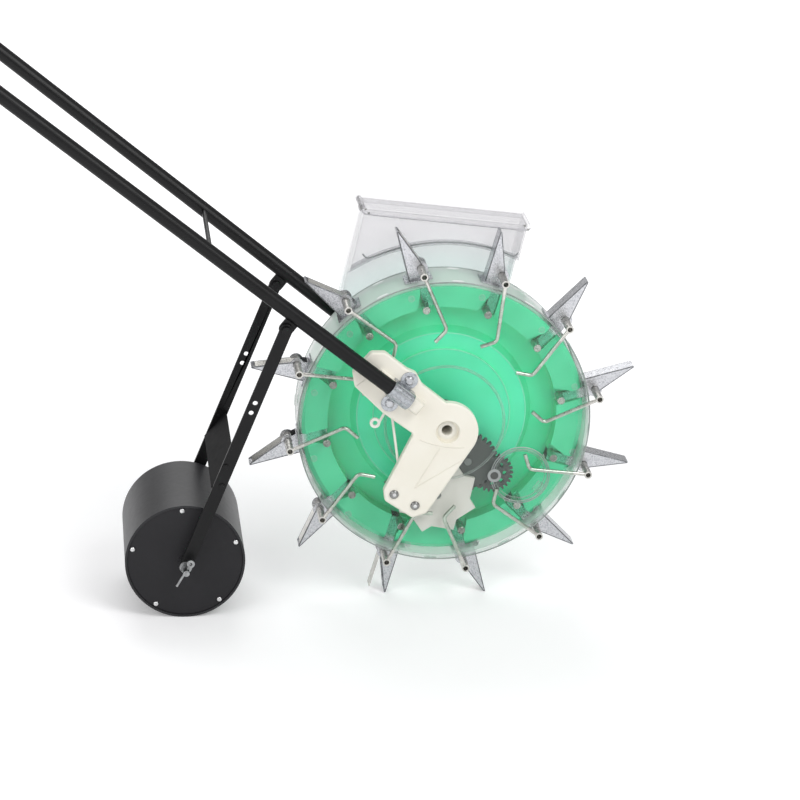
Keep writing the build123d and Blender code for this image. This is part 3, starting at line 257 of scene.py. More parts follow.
class Finish:
    """A material with one Principled shader and patterns measured in millimetres."""

    def __init__(self, name, **uniform):
        self.material = bpy.data.materials.new(name)
        self.material.use_nodes = True
        self.tree = self.material.node_tree
        self.inputs = self.tree.nodes["Principled BSDF"].inputs
        for socket, value in uniform.items():
            self.inputs[spaced(socket)].default_value = value

    def pattern(self, grain_mm, kind="noise"):
        """A grey pattern with that grain, as an output socket."""
        place = self.tree.nodes.new("ShaderNodeTexCoord")
        if kind == "cells":
            node = self.tree.nodes.new("ShaderNodeTexVoronoi")
            output = node.outputs["Color"]
        else:
            node = self.tree.nodes.new("ShaderNodeTexNoise")
            node.inputs["Detail"].default_value = NOISE_DETAIL
            output = node.outputs["Fac"]
        node.inputs["Scale"].default_value = 1 / (grain_mm * MM)
        feed(self.tree, node.inputs["Vector"], place.outputs["Object"])
        return output

    def shades(self, pattern, dark, light, low=0.3, high=0.7):
        """Base colour between two shades."""
        ramp = self.tree.nodes.new("ShaderNodeValToRGB")
        ramp.color_ramp.elements[0].position = low
        ramp.color_ramp.elements[1].position = high
        ramp.color_ramp.elements[0].color = (*dark, 1)
        ramp.color_ramp.elements[1].color = (*light, 1)
        feed(self.tree, ramp.inputs["Fac"], pattern)
        feed(self.tree, self.inputs["Base Color"], ramp.outputs["Color"])

    def blend(self, share, colour, mode):
        """The base colour so far, mixed with another one."""
        mix = self.tree.nodes.new("ShaderNodeMixRGB")
        mix.blend_type = mode
        feed(self.tree, mix.inputs["Color1"], self.inputs["Base Color"].links[0].from_socket)
        feed(self.tree, mix.inputs["Color2"], colour)
        feed(self.tree, mix.inputs["Fac"], share)
        feed(self.tree, self.inputs["Base Color"], mix.outputs["Color"])

    def spread(self, pattern, socket, low, high, start=0, end=1):
        """A number that follows the pattern."""
        feed(self.tree, self.inputs[socket], mapped(self.tree, pattern, start, end, low, high))

    def bump(self, pattern, height_mm, strength):
        """A fine relief that follows the pattern."""
        relief = self.tree.nodes.new("ShaderNodeBump")
        relief.inputs["Distance"].default_value = height_mm * MM
        relief.inputs["Strength"].default_value = strength
        feed(self.tree, relief.inputs["Height"], pattern)
        feed(self.tree, self.inputs["Normal"], relief.outputs["Normal"])


# %% [markdown]
# ### Green light in the drum
# Steel and clear sheet near the axle take up the green light of the seed wheel behind them, and that light
# is painted into their colour as a tint within a radius of the axle. The wheel itself is painted lighter
# towards the axle: its floor a purer green than its outer blocks, and its raised middle brighter still,
# which is painted light and shade. More bounces of light could give the green, but a painted tint within a
# radius of the axle is quicker. It stays right as the drum turns, because the axle runs through the origin.

# %% Painted light by radius
SIDE_PLANE = (1, 0, 1)
ZONE_FADE_MM = 2


def painted_light_inside(finish, radius_mm, fade_mm, colour, mode="MIX"):
    """Painted light: another colour within a radius of the axle."""
    outwards = distance_out(finish.tree, SIDE_PLANE)
    share = mapped(finish.tree, outwards, (radius_mm - fade_mm) * MM, radius_mm * MM, 1, 0)
    finish.blend(share, (*colour, 1), mode)


def painted_light_zones(finish, zones):
    """Painted light and shade: each zone is a radius in millimetres, and a factor for the colour inside it.
    """
    for radius_mm, factor in zones:
        painted_light_inside(finish, radius_mm, ZONE_FADE_MM, factor, "MULTIPLY")


# %% [markdown]
# ### Metals
# The beaks are hot-dip galvanised: the zinc freezes in cells, so each cell takes its own grey and its own
# gloss. A Voronoi texture gives them, because noise has no flat patches. Screws, pins and levers are
# bright zinc plate with a fine grain. Tubes, legs and brace are black enamel. The bushes are bronze, by
# the recipe of the zinc plate in another colour.

# %% Metal recipes
GLOSS_CELL_SHARE = 0.8


def galvanised(name, dark, light, cell_mm):
    finish = Finish(name, Metallic=1.0)
    finish.shades(finish.pattern(cell_mm, "cells"), dark, light, low=0.05, high=0.55)
    finish.spread(finish.pattern(cell_mm * GLOSS_CELL_SHARE, "cells"), "Roughness", low=0.2, high=0.42)
    finish.bump(finish.pattern(grain_mm=1.2), height_mm=0.25, strength=0.35)
    return finish


def zinc_plate(name, dark, light, zones=()):
    finish = Finish(name, Metallic=1.0)
    finish.shades(finish.pattern(grain_mm=6), dark, light)
    painted_light_zones(finish, zones)
    finish.spread(finish.pattern(grain_mm=2.5), "Roughness", low=0.2, high=0.38)
    finish.bump(finish.pattern(grain_mm=0.6), height_mm=0.05, strength=0.2)
    return finish.material


def black_enamel(name, gloss, rough):
    finish = Finish(name, Specular_IOR_Level=gloss)
    finish.shades(finish.pattern(grain_mm=30), (0.003, 0.003, 0.0034), (0.0055, 0.0055, 0.006))
    finish.spread(finish.pattern(grain_mm=9), "Roughness", *rough)
    finish.bump(finish.pattern(grain_mm=1.5), height_mm=0.05, strength=0.15)
    return finish.material


# %% Metal finishes
DRUM_ZONE_MM = 184
STEM_FADE_MM = 8
# Painted green light and shade: the colour of the beaks' stems inside the drum, and the factor for the
# levers.
STEM_GREEN_LIGHT = (0.10, 0.44, 0.27)
LEVER_GREEN_LIGHT = (0.74, 0.86, 0.79)

sheet = galvanised("galvanised_sheet", (0.40, 0.41, 0.435), (0.60, 0.605, 0.63), cell_mm=1.6)
# Painted green light and shade on the beaks' stems inside the drum.
painted_light_inside(sheet, DRUM_ZONE_MM, STEM_FADE_MM, STEM_GREEN_LIGHT)
# Painted shade: a dark zinc for the beaks' edges and hems, to outline them.
edge_shade_zinc = zinc_plate("zinc_cut_edge", (0.11, 0.115, 0.12), (0.24, 0.245, 0.255))
beak_zinc = sheet.material
strap_zinc = galvanised("galvanised_strap", (0.33, 0.345, 0.37), (0.46, 0.48, 0.505), cell_mm=2.4).material
# The levers' zone is painted green light and shade from the seed wheel.
lever_zinc = zinc_plate(
    "zinc_lever", (0.48, 0.47, 0.44), (0.70, 0.69, 0.65), zones=[(DRUM_ZONE_MM, LEVER_GREEN_LIGHT)])
peg_zinc = zinc_plate("zinc_peg", (0.30, 0.33, 0.29), (0.46, 0.49, 0.44))
# Bright zinc for the roller's screws; on the bracket screws' domes it is a painted highlight.
screw_zinc_and_highlight = zinc_plate("zinc_screw", (0.62, 0.62, 0.63), (0.84, 0.84, 0.84))
# Dull zinc for the lid pin and studs; on the bracket screws and the levers' edges it is painted shade.
dull_zinc_and_shade = zinc_plate("zinc_dull", (0.20, 0.20, 0.195), (0.36, 0.36, 0.35))
clamp_zinc = zinc_plate("zinc_clamp", (0.40, 0.41, 0.43), (0.58, 0.59, 0.61))
pin_zinc = zinc_plate("zinc_pin", (0.26, 0.265, 0.27), (0.46, 0.465, 0.47))
bronze = zinc_plate("bush_bronze", (0.42, 0.30, 0.13), (0.52, 0.38, 0.18))
enamel = black_enamel("black_enamel", gloss=0.26, rough=(0.32, 0.45))
plate_enamel = black_enamel("plate_enamel", gloss=0.12, rough=(0.6, 0.72))
print("materials after the metals", len(bpy.data.materials))

# %% [markdown]
# ### Opaque plastics
# The brackets and star are ivory mouldings, the seed wheel is green, the gears are dark grey. A moulding
# is never one flat colour: it has faint flow clouds and a fine skin. One recipe serves them all, with two
# shades and a gloss for each. The grips are rubber, which is rougher and duller.


# %% Plastic recipes
def moulding(name, dark, light, rough=(0.32, 0.45), zones=()):
    finish = Finish(name, Specular_IOR_Level=0.4)
    finish.shades(finish.pattern(grain_mm=45), dark, light)
    painted_light_zones(finish, zones)
    finish.spread(finish.pattern(grain_mm=7), "Roughness", *rough)
    finish.bump(finish.pattern(grain_mm=0.8), height_mm=0.04, strength=0.15)
    return finish.material


def rubber(name):
    finish = Finish(name, Specular_IOR_Level=0.3)
    finish.shades(finish.pattern(grain_mm=12), (0.012, 0.012, 0.012), (0.02, 0.02, 0.02))
    finish.spread(finish.pattern(grain_mm=5), "Roughness", low=0.6, high=0.78)
    finish.bump(finish.pattern(grain_mm=0.7), height_mm=0.1, strength=0.4)
    return finish.material


# %% Plastic finishes
BLOCK_ZONE_MM = 147
PLATEAU_ZONE_MM = 112
# Painted light and shade: inside the blocks the wheel's floor is a purer, brighter green, and its raised
# middle is brighter still.
WHEEL_PAINTED_LIGHT = [(BLOCK_ZONE_MM, (0.70, 1.11, 1.08)), (PLATEAU_ZONE_MM, (1.3, 1.12, 1.25))]

ivory = moulding("ivory_moulding", (0.84, 0.805, 0.705), (0.88, 0.85, 0.76))
# Painted shade: the crease beads are a darker ivory than the bracket.
ivory_crease = moulding("ivory_crease", (0.77, 0.735, 0.64), (0.82, 0.785, 0.69))
ivory_wire = moulding("ivory_wire", (0.82, 0.80, 0.73), (0.87, 0.85, 0.78))
star_ivory = moulding("star_moulding", (0.78, 0.77, 0.71), (0.84, 0.83, 0.77))
# The seed wheel's zones are painted light and shade.
green = moulding("green_moulding", (0.070, 0.73, 0.358), (0.090, 0.80, 0.418), zones=WHEEL_PAINTED_LIGHT)
# Painted highlight: the wheel's lips are a paler green.
green_lip = moulding("green_lip", (0.20, 0.90, 0.58), (0.28, 0.95, 0.66), (0.15, 0.25))
gear_grey = moulding("gear_moulding", (0.07, 0.075, 0.073), (0.095, 0.10, 0.095), (0.4, 0.55))
hub_grey = moulding("hub_moulding", (0.20, 0.215, 0.21), (0.27, 0.285, 0.275), (0.3, 0.45))
roller_skin = moulding("roller_skin", (0.013, 0.013, 0.015), (0.018, 0.018, 0.021), (0.36, 0.46))
roller_cap = moulding("roller_cap", (0.008, 0.0076, 0.0095), (0.011, 0.0105, 0.013), (0.55, 0.65))
lid_grey = moulding("lid_line", (0.42, 0.41, 0.44), (0.52, 0.51, 0.54), (0.3, 0.45))
rim_grey = moulding("rim_line", (0.27, 0.31, 0.29), (0.38, 0.42, 0.40), (0.15, 0.3))
ledge_grey = moulding("ledge_line", (0.30, 0.32, 0.32), (0.38, 0.40, 0.40), (0.3, 0.45))
grip_rubber = rubber("grip_rubber")
print("materials after the opaque plastics", len(bpy.data.materials))

# %% [markdown]
# ### Clear plastics
# Cover, door, hopper and lid are clear mouldings. Real glass shading needs many rays to show what lies
# behind, so these let light straight through by their alpha. They turn milky on slopes and grey along
# their rims, which a facing weight gives to the colour and the alpha.

# %% Clear recipe
FACE_STOP = 0.35
SLOPE_STOP = 0.62
STEEP_STOP = 0.8
RIM_STOP = 0.94
ALPHA_FROM = 0.4
ALPHA_TO = 0.74
FACING_BLEND = 0.5


def clear_moulding(name, face, slope, steep, rim, face_alpha, rim_alpha):
    """Clear when faced, milky on a slope and grey at the very rim, as light is caught inside the sheet."""
    finish = Finish(name, Specular_IOR_Level=0.6, IOR=1.49)
    finish.shades(finish.pattern(grain_mm=60), (0.93, 0.93, 0.93), (1, 1, 1))
    finish.spread(finish.pattern(grain_mm=25), "Roughness", low=0.04, high=0.1)
    weight = finish.tree.nodes.new("ShaderNodeLayerWeight")
    weight.inputs["Blend"].default_value = FACING_BLEND
    facing = weight.outputs["Facing"]
    ramp = finish.tree.nodes.new("ShaderNodeValToRGB")
    stops = ramp.color_ramp.elements
    stops[0].position, stops[0].color = FACE_STOP, (*face, 1)
    stops[1].position, stops[1].color = RIM_STOP, (*rim, 1)
    for position, colour in ((SLOPE_STOP, slope), (STEEP_STOP, steep)):
        stops.new(position).color = (*colour, 1)
    feed(finish.tree, ramp.inputs["Fac"], facing)
    finish.blend(1.0, ramp.outputs["Color"], "MULTIPLY")
    finish.spread(facing, "Alpha", face_alpha, rim_alpha, start=ALPHA_FROM, end=ALPHA_TO)
    return finish


# %% Clear finishes
HOPPER_ZONE_MM = 228
HOPPER_FADE_MM = 50
# Painted green light: the colour the hopper sheet takes near the drum.
HOPPER_GREEN_LIGHT = (0.52, 0.80, 0.76)

clear_drum = clear_moulding(
    "clear_drum", face=(0.66, 0.76, 0.71), slope=(0.90, 0.95, 0.93), steep=(0.70, 0.78, 0.74),
    rim=(0.16, 0.19, 0.18), face_alpha=0.045, rim_alpha=0.72).material
clear_door = clear_moulding(
    "clear_door", face=(0.70, 0.80, 0.75), slope=(0.86, 0.90, 0.88), steep=(0.86, 0.90, 0.88),
    rim=(0.30, 0.34, 0.33), face_alpha=0.04, rim_alpha=0.85).material
clear_edge = clear_moulding(
    "clear_edge", face=(0.42, 0.50, 0.46), slope=(0.52, 0.58, 0.55), steep=(0.52, 0.58, 0.55),
    rim=(0.22, 0.25, 0.24), face_alpha=0.4, rim_alpha=0.75).material
hopper_sheet = clear_moulding(
    "clear_hopper", face=(0.46, 0.44, 0.48), slope=(0.48, 0.47, 0.50), steep=(0.48, 0.47, 0.50),
    rim=(0.20, 0.20, 0.22), face_alpha=0.2, rim_alpha=0.42)
# Painted green light from the seed wheel on the hopper sheet near the drum.
painted_light_inside(hopper_sheet, HOPPER_ZONE_MM, HOPPER_FADE_MM, HOPPER_GREEN_LIGHT)
clear_hopper = hopper_sheet.material
hopper_edge = clear_moulding(
    "hopper_edge", face=(0.36, 0.35, 0.38), slope=(0.40, 0.39, 0.42), steep=(0.40, 0.39, 0.42),
    rim=(0.22, 0.22, 0.24), face_alpha=0.22, rim_alpha=0.5).material
clear_lid = clear_moulding(
    "clear_lid", face=(0.60, 0.59, 0.62), slope=(0.66, 0.65, 0.68), steep=(0.62, 0.61, 0.64),
    rim=(0.30, 0.30, 0.32), face_alpha=0.12, rim_alpha=0.34).material
# Painted highlight: near-white pads for the lamps' reflections on the drum's band.
rim_highlight_paint = clear_moulding(
    "frosted_pads", face=(0.90, 0.94, 0.92), slope=(0.96, 0.98, 0.97), steep=(0.97, 0.98, 0.98),
    rim=(0.90, 0.92, 0.91), face_alpha=0.16, rim_alpha=1.0).material
print("materials in all", len(bpy.data.materials))

# %% [markdown]
# ## Dressing the solids
# A solid from a modeller has knife edges, which real sheet and mouldings never have. Each piece is
# copied, its triangles are merged into flat faces, and a small bevel catches the light along every edge.
# On the brackets, whose backs are full of ribs, only the outline of the outer face is rounded. The bevel can
# take its own material: on the beaks and levers it is a darker zinc, a painted shade that outlines each
# edge, and the edge of a clear sheet gathers light and looks grey. The copy then stands for the solid and
# rides on the same body. A modifier does this for all nodes in one loop, where edges cut by hand would be
# lost with each change.

# %% Dress a node
MERGE = 0.1 * MM
FLAT = math.radians(1)
SHARP = math.radians(38)
EDGE_SEGMENTS = 2
EDGE_SLOT = 1
BRACKET_FACE = 74 * MM
BRACKETS = {"bracket_right", "bracket_left"}
FULL_WIDTH = BRACKETS | {
    "front_cover", "rear_ring", "side_plate", "clean_out_door", "hopper", "hopper_lid", "fork_leg_right",
    "fork_leg_left", "roller_disc_right", "roller_disc_left",
}
BODIES = frame["record"]["behaviour"]["bodies"]
BODY_OF = {node: body for body, held in BODIES.items() for node in held}


def plain_mesh(obj):
    """The object's evaluated mesh as ordinary data."""
    graph = bpy.context.evaluated_depsgraph_get()
    return bpy.data.meshes.new_from_object(obj.evaluated_get(graph))


def mark_bracket_face(work):
    """Weights the sharp edges of a bracket's outer face, so that only its outline is rounded."""
    weight = work.edges.layers.float.new("bevel_weight_edge")
    for edge in work.edges:
        on_plane = all(abs(abs(vert.co.y) - BRACKET_FACE) < MERGE for vert in edge.verts)
        if on_plane and edge.calc_face_angle(0) > SHARP:
            edge[weight] = 1


def merged_copy(node):
    """A copy of the solid's mesh, with its triangles merged into flat faces."""
    mesh = nodes[node].data.copy()
    mesh.materials.clear()
    work = bmesh.new()
    work.from_mesh(mesh)
    bmesh.ops.remove_doubles(work, verts=work.verts, dist=MERGE)
    bmesh.ops.dissolve_limit(work, angle_limit=FLAT, verts=work.verts, edges=work.edges)
    if node in BRACKETS:
        mark_bracket_face(work)
    work.to_mesh(mesh)
    work.free()
    mesh.shade_smooth()
    mesh.set_sharp_from_angle(angle=SHARP)
    return mesh


def dress(node, material, edge_mm, edge_material):
    mesh = merged_copy(node)
    for finish in (material, edge_material):
        mesh.materials.append(finish)
    piece = shown(node + "_dressed", mesh)
    edge = piece.modifiers.new("edge", "BEVEL")
    edge.width = edge_mm * MM
    edge.segments = EDGE_SEGMENTS
    edge.limit_method = "WEIGHT" if node in BRACKETS else "ANGLE"
    edge.angle_limit = SHARP
    edge.use_clamp_overlap = node not in FULL_WIDTH
    edge.material = EDGE_SLOT
    flat = piece.modifiers.new("flat", "WEIGHTED_NORMAL")
    flat.keep_sharp = True
    bpy.context.view_layer.update()
    piece.data = plain_mesh(piece)
    piece.modifiers.clear()
    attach(piece, BODY_OF[node])
    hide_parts(node)


# %% Dress every node
FLAPS = sorted(node for node in nodes if node.startswith("flap_"))
DRESS = {
    (ivory, 1.2): ["bracket_right", "bracket_left"],
    (ivory_wire, 0.5): ["axle", "hairpin_wire"],
    # The bracket screws' dark zinc is painted shade of the recess they sit in.
    (dull_zinc_and_shade, 0.3): ["bracket_screws", "lid_pin"],
    (clamp_zinc, 0.3): ["clamp_screws"],
    (star_ivory, 0.5): ["star_wheel"],
    (green, 0.7): ["seed_wheel"],
    (gear_grey, 0.3): ["metering_gear", "feed_wheel", "gear_carrier", "door_pin"],
    (hub_grey, 0.4): ["gear_shafts"],
    (clear_drum, 0.9): ["front_cover", "rear_ring", "side_plate"],
    (clear_door, 0.7): ["clean_out_door"],
    (clear_hopper, 0.7): ["hopper"],
    (clear_lid, 0.7): ["hopper_lid"],
    (beak_zinc, 0.5): ["fixed_beaks"],
    (lever_zinc, 0.3): FLAPS + ["striker"],
    (peg_zinc, 0.4): ["drive_pegs"],
    (strap_zinc, 0.4): ["tube_clamps"],
    (pin_zinc, 0.3): ["roller_axle", "roller_spacers", "split_pins"],
    (enamel, 0.4): [
        "tube_right", "tube_left", "cross_rod", "fork_leg_right", "fork_leg_left", "brace_screws",
        "pivot_bolts",
    ],
    (plate_enamel, 0.4): ["fork_brace"],
    (roller_skin, 0.6): ["roller_shell"],
    (roller_cap, 0.6): ["roller_disc_right", "roller_disc_left"],
    (grip_rubber, 0.6): ["grip_right", "grip_left"],
    (bronze, 0.3): ["drum_bushes"],
}
# The dark edge zinc of beaks and levers is painted shade along their edges.
EDGES = {
    beak_zinc: edge_shade_zinc,
    lever_zinc: dull_zinc_and_shade,
    clear_drum: clear_edge,
    clear_door: clear_edge,
    clear_hopper: hopper_edge,
    clear_lid: hopper_edge,
}
for (material, edge_mm), names in DRESS.items():
    for name in names:
        dress(name, material, edge_mm, EDGES.get(material, material))
print("dressed", sum(len(names) for names in DRESS.values()), "of", len(nodes))

# %% [markdown]
# ## Node trees for what repeats
# Screw heads, moulded bosses and pressed ribs repeat around a circle or along a line. A small class
# builds such a tree: it opens with named inputs, and it always closes with real geometry and a material.
# Two more helpers give a piece its place: one finds the middle of a node's box, the other turns
# millimetres into metres.

# %% Tree class
WIRE_SIDES = 8
UPRIGHT = (math.pi / 2, 0, 0)


class Tree:
    """A geometry node tree with named inputs that ends in one plain, painted mesh."""

    def __init__(self, name, **inputs):
        self.group = bpy.data.node_groups.new(name, "GeometryNodeTree")
        sockets = self.group.interface
        for label, kind in (inputs | {"Material": "Material"}).items():
            sockets.new_socket(spaced(label), in_out="INPUT", socket_type="NodeSocket" + kind)
        sockets.new_socket("Geometry", in_out="OUTPUT", socket_type="NodeSocketGeometry")
        self.given = self.group.nodes.new("NodeGroupInput").outputs

    def add(self, kind, **values):
        """A node whose inputs are links or plain values."""
        node = self.group.nodes.new(kind)
        for label, value in values.items():
            feed(self.group, node.inputs[spaced(label)], value)
        return node

    def join(self, *parts):
        """The parts' first outputs as one geometry."""
        joined = self.add("GeometryNodeJoinGeometry")
        for part in parts:
            self.group.links.new(part.outputs[0], joined.inputs["Geometry"])
        return joined

    def wire(self, curve, caps=False):
        """A round wire along a curve, of the radius given to the tree."""
        section = self.add(
            "GeometryNodeCurvePrimitiveCircle", Resolution=WIRE_SIDES, Radius=self.given["Wire Radius"])
        return self.add(
            "GeometryNodeCurveToMesh", Curve=curve.outputs["Curve"], Profile_Curve=section.outputs["Curve"],
            Fill_Caps=caps)

    def close(self, *parts):
        """The finished tree: its parts joined, made real, smoothed and painted."""
        joined = self.join(*parts)
        real = self.add("GeometryNodeRealizeInstances", Geometry=joined.outputs["Geometry"])
        smooth = self.add("GeometryNodeSetShadeSmooth", Geometry=real.outputs["Geometry"])
        painted = self.add(
            "GeometryNodeSetMaterial", Geometry=smooth.outputs["Geometry"], Material=self.given["Material"])
        out = self.group.nodes.new("NodeGroupOutput")
        self.group.links.new(painted.outputs["Geometry"], out.inputs["Geometry"])
        return self.group


# %% Pieces from trees
def grown(name, group, body, **values):
    """A plain mesh piece from a node tree with the given inputs."""
    piece = shown(name, bpy.data.meshes.new(name))
    modifier = piece.modifiers.new(name, "NODES")
    modifier.node_group = group
    inputs = [item for item in group.interface.items_tree if item.in_out == "INPUT"]
    identifiers = {item.name: item.identifier for item in inputs}
    for label, value in values.items():
        modifier[identifiers[spaced(label)]] = value
    bpy.context.view_layer.update()
    piece.data = plain_mesh(piece)
    piece.modifiers.clear()
    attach(piece, body)
    print(name, len(piece.data.polygons), "faces")
    return piece


def middle(node):
    low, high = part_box(node)
    return (low + high) / 2


def in_mm(*lengths):
    return tuple(length * MM for length in lengths)


# %% [markdown]
# ## Rings of domes and pads
# An arc that stops one step short of a full turn gives the points, and a squashed ball is set on each,
# turned to follow the arc. A round ball scale makes screw heads, a long one makes pads, and a count of
# two makes a pair. The ring is stood upright and set in two places, near and far. Copies could be set by
# hand, but with count, radius and size as inputs one tree serves them all.

# %% Dome ring tree
BALL_SEGMENTS = 20
BALL_RINGS = 10


def dome_ring():
    tree = Tree("dome_ring", Count="Int", Ring_Radius="Float", Start_Angle="Float", Dome_Size="Vector",
                Near_Place="Vector", Far_Place="Vector")
    given = tree.given
    step = calculated(tree.group, "DIVIDE", math.tau, given["Count"])
    sweep = calculated(tree.group, "SUBTRACT", math.tau, step)
    arc = tree.add("GeometryNodeCurveArc", Resolution=given["Count"], Radius=given["Ring Radius"],
                   Start_Angle=0, Sweep_Angle=sweep)
    index = tree.add("GeometryNodeInputIndex")
    along = calculated(tree.group, "MULTIPLY", index.outputs["Index"], step)
    heading = tree.add("ShaderNodeCombineXYZ", Z=along)
    ball = tree.add("GeometryNodeMeshUVSphere", Segments=BALL_SEGMENTS, Rings=BALL_RINGS, Radius=1.0)
    spread = tree.add(
        "GeometryNodeInstanceOnPoints", Points=arc.outputs["Curve"], Instance=ball.outputs["Mesh"],
        Rotation=heading.outputs["Vector"], Scale=given["Dome Size"])
    start = tree.add("ShaderNodeCombineXYZ", Z=given["Start Angle"])
    turned = tree.add(
        "GeometryNodeTransform", Geometry=spread.outputs["Instances"], Rotation=start.outputs["Vector"])
    upright = tree.add("GeometryNodeTransform", Geometry=turned.outputs["Geometry"], Rotation=UPRIGHT)
    sides = [
        tree.add("GeometryNodeTransform", Geometry=upright.outputs["Geometry"], Translation=given[place])
        for place in ("Near Place", "Far Place")
    ]
    return tree.close(*sides)


DOME_RING = dome_ring()
print("dome ring", len(DOME_RING.nodes), "nodes")

# %% [markdown]
# ## Roller screws
# Five domed screws hold each end disc of the roller. The plain heads of the solid model give way to them.
# One tree does both discs, because its two places are inputs.

# %% Roller screws
ROLLER_SCREWS = 5
SCREW_RING_R = 69.5 * MM
FIRST_SCREW = math.radians(93.6)
SCREW_DOME = in_mm(3.4, 3.4, 2)
roller_mid = middle("roller_shell")
disc_face = -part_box("roller_disc_right")[0].y
roller_domes = grown(
    "roller_dome_screws", DOME_RING, "roller", Count=ROLLER_SCREWS, Ring_Radius=SCREW_RING_R,
    Start_Angle=FIRST_SCREW, Dome_Size=SCREW_DOME, Near_Place=(roller_mid.x, -disc_face, roller_mid.z),
    Far_Place=(roller_mid.x, disc_face, roller_mid.z), Material=screw_zinc_and_highlight)
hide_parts("roller_screws")

# %% [markdown]
# ## Bosses and pads of the cover
# The clear cover carries a ring of small moulded bosses, one beside each beak, which show on both faces of
# the sheet. Its band has flat pads in a near-white colour, a painted highlight for the white dashes where
# the band reflects the lamps. Both are the ring tree with other numbers: a low round dome is a boss, a thin
# long one a pad.

# %% Bosses and pads
BEAKS = 12
COVER_FACE = 39 * MM
COVER_T = 3 * MM
BOSS_RING_R = 174 * MM
FIRST_BOSS = math.radians(16)
BOSS_SIZE = in_mm(4, 4, 1.6)
grown("cover_bosses", DOME_RING, "drum", Count=BEAKS, Ring_Radius=BOSS_RING_R, Start_Angle=FIRST_BOSS,
      Dome_Size=BOSS_SIZE, Near_Place=(0, -COVER_FACE, 0), Far_Place=(0, COVER_T - COVER_FACE, 0),
      Material=clear_door)

RIM_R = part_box("front_cover")[1].x
PAD_T = 0.6 * MM
PAD_SIZE = (PAD_T, 8.5 * MM, 4 * MM)
FIRST_PAD = math.radians(26.6)
NEAR_PAD_Y = -32 * MM
FAR_PAD_Y = 22 * MM
# The pads' near-white colour is a painted highlight on the band.
grown("rim_pads", DOME_RING, "drum", Count=BEAKS, Ring_Radius=RIM_R - PAD_T, Start_Angle=FIRST_PAD,
      Dome_Size=PAD_SIZE, Near_Place=(0, NEAR_PAD_Y, 0), Far_Place=(0, FAR_PAD_Y, 0), Material=rim_highlight_paint)

# %% [markdown]
# ## Hemmed beaks
# Each cheek of a beak has a thin round wire along its free sides, a rounded hem in the dark edge zinc, whose
# dark colour is painted shade that outlines the beak. It could be folded in the solid, but a thin wire along
# the edge catches the light in the same way. A cheek has three short wires: back, tip and flap side. The
# tree sets them on a row of points that all lie on the axle and turns every copy one step further, so the
# same outline walks round the drum.


# %% Hem ring tree
def hem_ring():
    tree = Tree("hem_ring", Count="Int", Start_Angle="Float", Wire_Radius="Float", Root="Vector",
                Tip="Vector", Point="Vector", Heel="Vector", Far_Side="Vector")
    given = tree.given
    hems = []
    for start, end in (("Root", "Tip"), ("Tip", "Point"), ("Point", "Heel")):
        line = tree.add("GeometryNodeCurvePrimitiveLine", Start=given[start], End=given[end])
        hems.append(tree.wire(line, caps=True))
    near = tree.join(*hems)
    far = tree.add("GeometryNodeTransform", Geometry=near.outputs["Geometry"], Translation=given["Far Side"])
    cheeks = tree.join(near, far)
    hub = tree.add("GeometryNodeMeshLine", Count=given["Count"], Offset=(0, 0, 0))
    index = tree.add("GeometryNodeInputIndex")
    step = calculated(tree.group, "DIVIDE", -math.tau, given["Count"])
    angle = calculated(tree.group, "MULTIPLY_ADD", index.outputs["Index"], step, given["Start Angle"])
    heading = tree.add("ShaderNodeCombineXYZ", Y=angle)
    spread = tree.add(
        "GeometryNodeInstanceOnPoints", Points=hub.outputs["Mesh"], Instance=cheeks.outputs["Geometry"],
        Rotation=heading.outputs["Vector"])
    return tree.close(spread)


# %% Hems in place
HEM_R = 0.75 * MM
FIRST_BEAK = math.radians(-15)
CHEEK_MM = -10.6
BACK_MM = -0.6
TIP_MM = 256
HEM_ROOT = in_mm(189, CHEEK_MM, BACK_MM)
HEM_TIP = in_mm(TIP_MM, CHEEK_MM, BACK_MM)
HEM_POINT = in_mm(TIP_MM, CHEEK_MM, -1.6)
HEM_HEEL = in_mm(206, CHEEK_MM, -21.2)
TO_FAR_CHEEK = in_mm(0, -2 * CHEEK_MM, 0)
# The hems' dark zinc is painted shade that outlines each beak.
grown("beak_hems", hem_ring(), "drum", Count=BEAKS, Start_Angle=FIRST_BEAK, Wire_Radius=HEM_R,
      Root=HEM_ROOT, Tip=HEM_TIP, Point=HEM_POINT, Heel=HEM_HEEL, Far_Side=TO_FAR_CHEEK, Material=edge_shade_zinc)

# %% [markdown]
# ## Hoops of rim, wheel and door
# A clear moulding shows most where it ends, because its rounded edge gathers the light of the whole sheet.
# Two thin hoops mark the drum's edges and two more the raised ring of the clean-out door. The green wheel
# has a raised middle, whose two steps end in rounded lips; these are a paler green than the wheel, a painted
# highlight along each step. A hoop is a small circle swept round a large one, and these come in pairs, so
# one tree makes two.

# %% Hoop pair tree
HOOP_SIDES = 160


def hoop_pair():
    tree = Tree("hoop_pair", Near_Radius="Float", Far_Radius="Float", Wire_Radius="Float",
                Near_Place="Vector", Far_Place="Vector")
    hoops = []
    for side in ("Near", "Far"):
        circle = tree.add(
            "GeometryNodeCurvePrimitiveCircle", Resolution=HOOP_SIDES, Radius=tree.given[side + " Radius"])
        hoops.append(tree.add(
            "GeometryNodeTransform", Geometry=tree.wire(circle).outputs["Mesh"],
            Translation=tree.given[side + " Place"], Rotation=UPRIGHT))
    return tree.close(*hoops)


HOOP_PAIR = hoop_pair()
print("hoop pair", len(HOOP_PAIR.nodes), "nodes")

# %% Hoops in place
HOOP_R = 1.0 * MM
rear_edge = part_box("rear_ring")[1]
grown("rim_hoops", HOOP_PAIR, "drum", Near_Radius=RIM_R - HOOP_R, Far_Radius=rear_edge.x - HOOP_R,
      Wire_Radius=HOOP_R, Near_Place=(0, HOOP_R - COVER_FACE, 0), Far_Place=(0, rear_edge.y - HOOP_R, 0),
      Material=rim_grey)

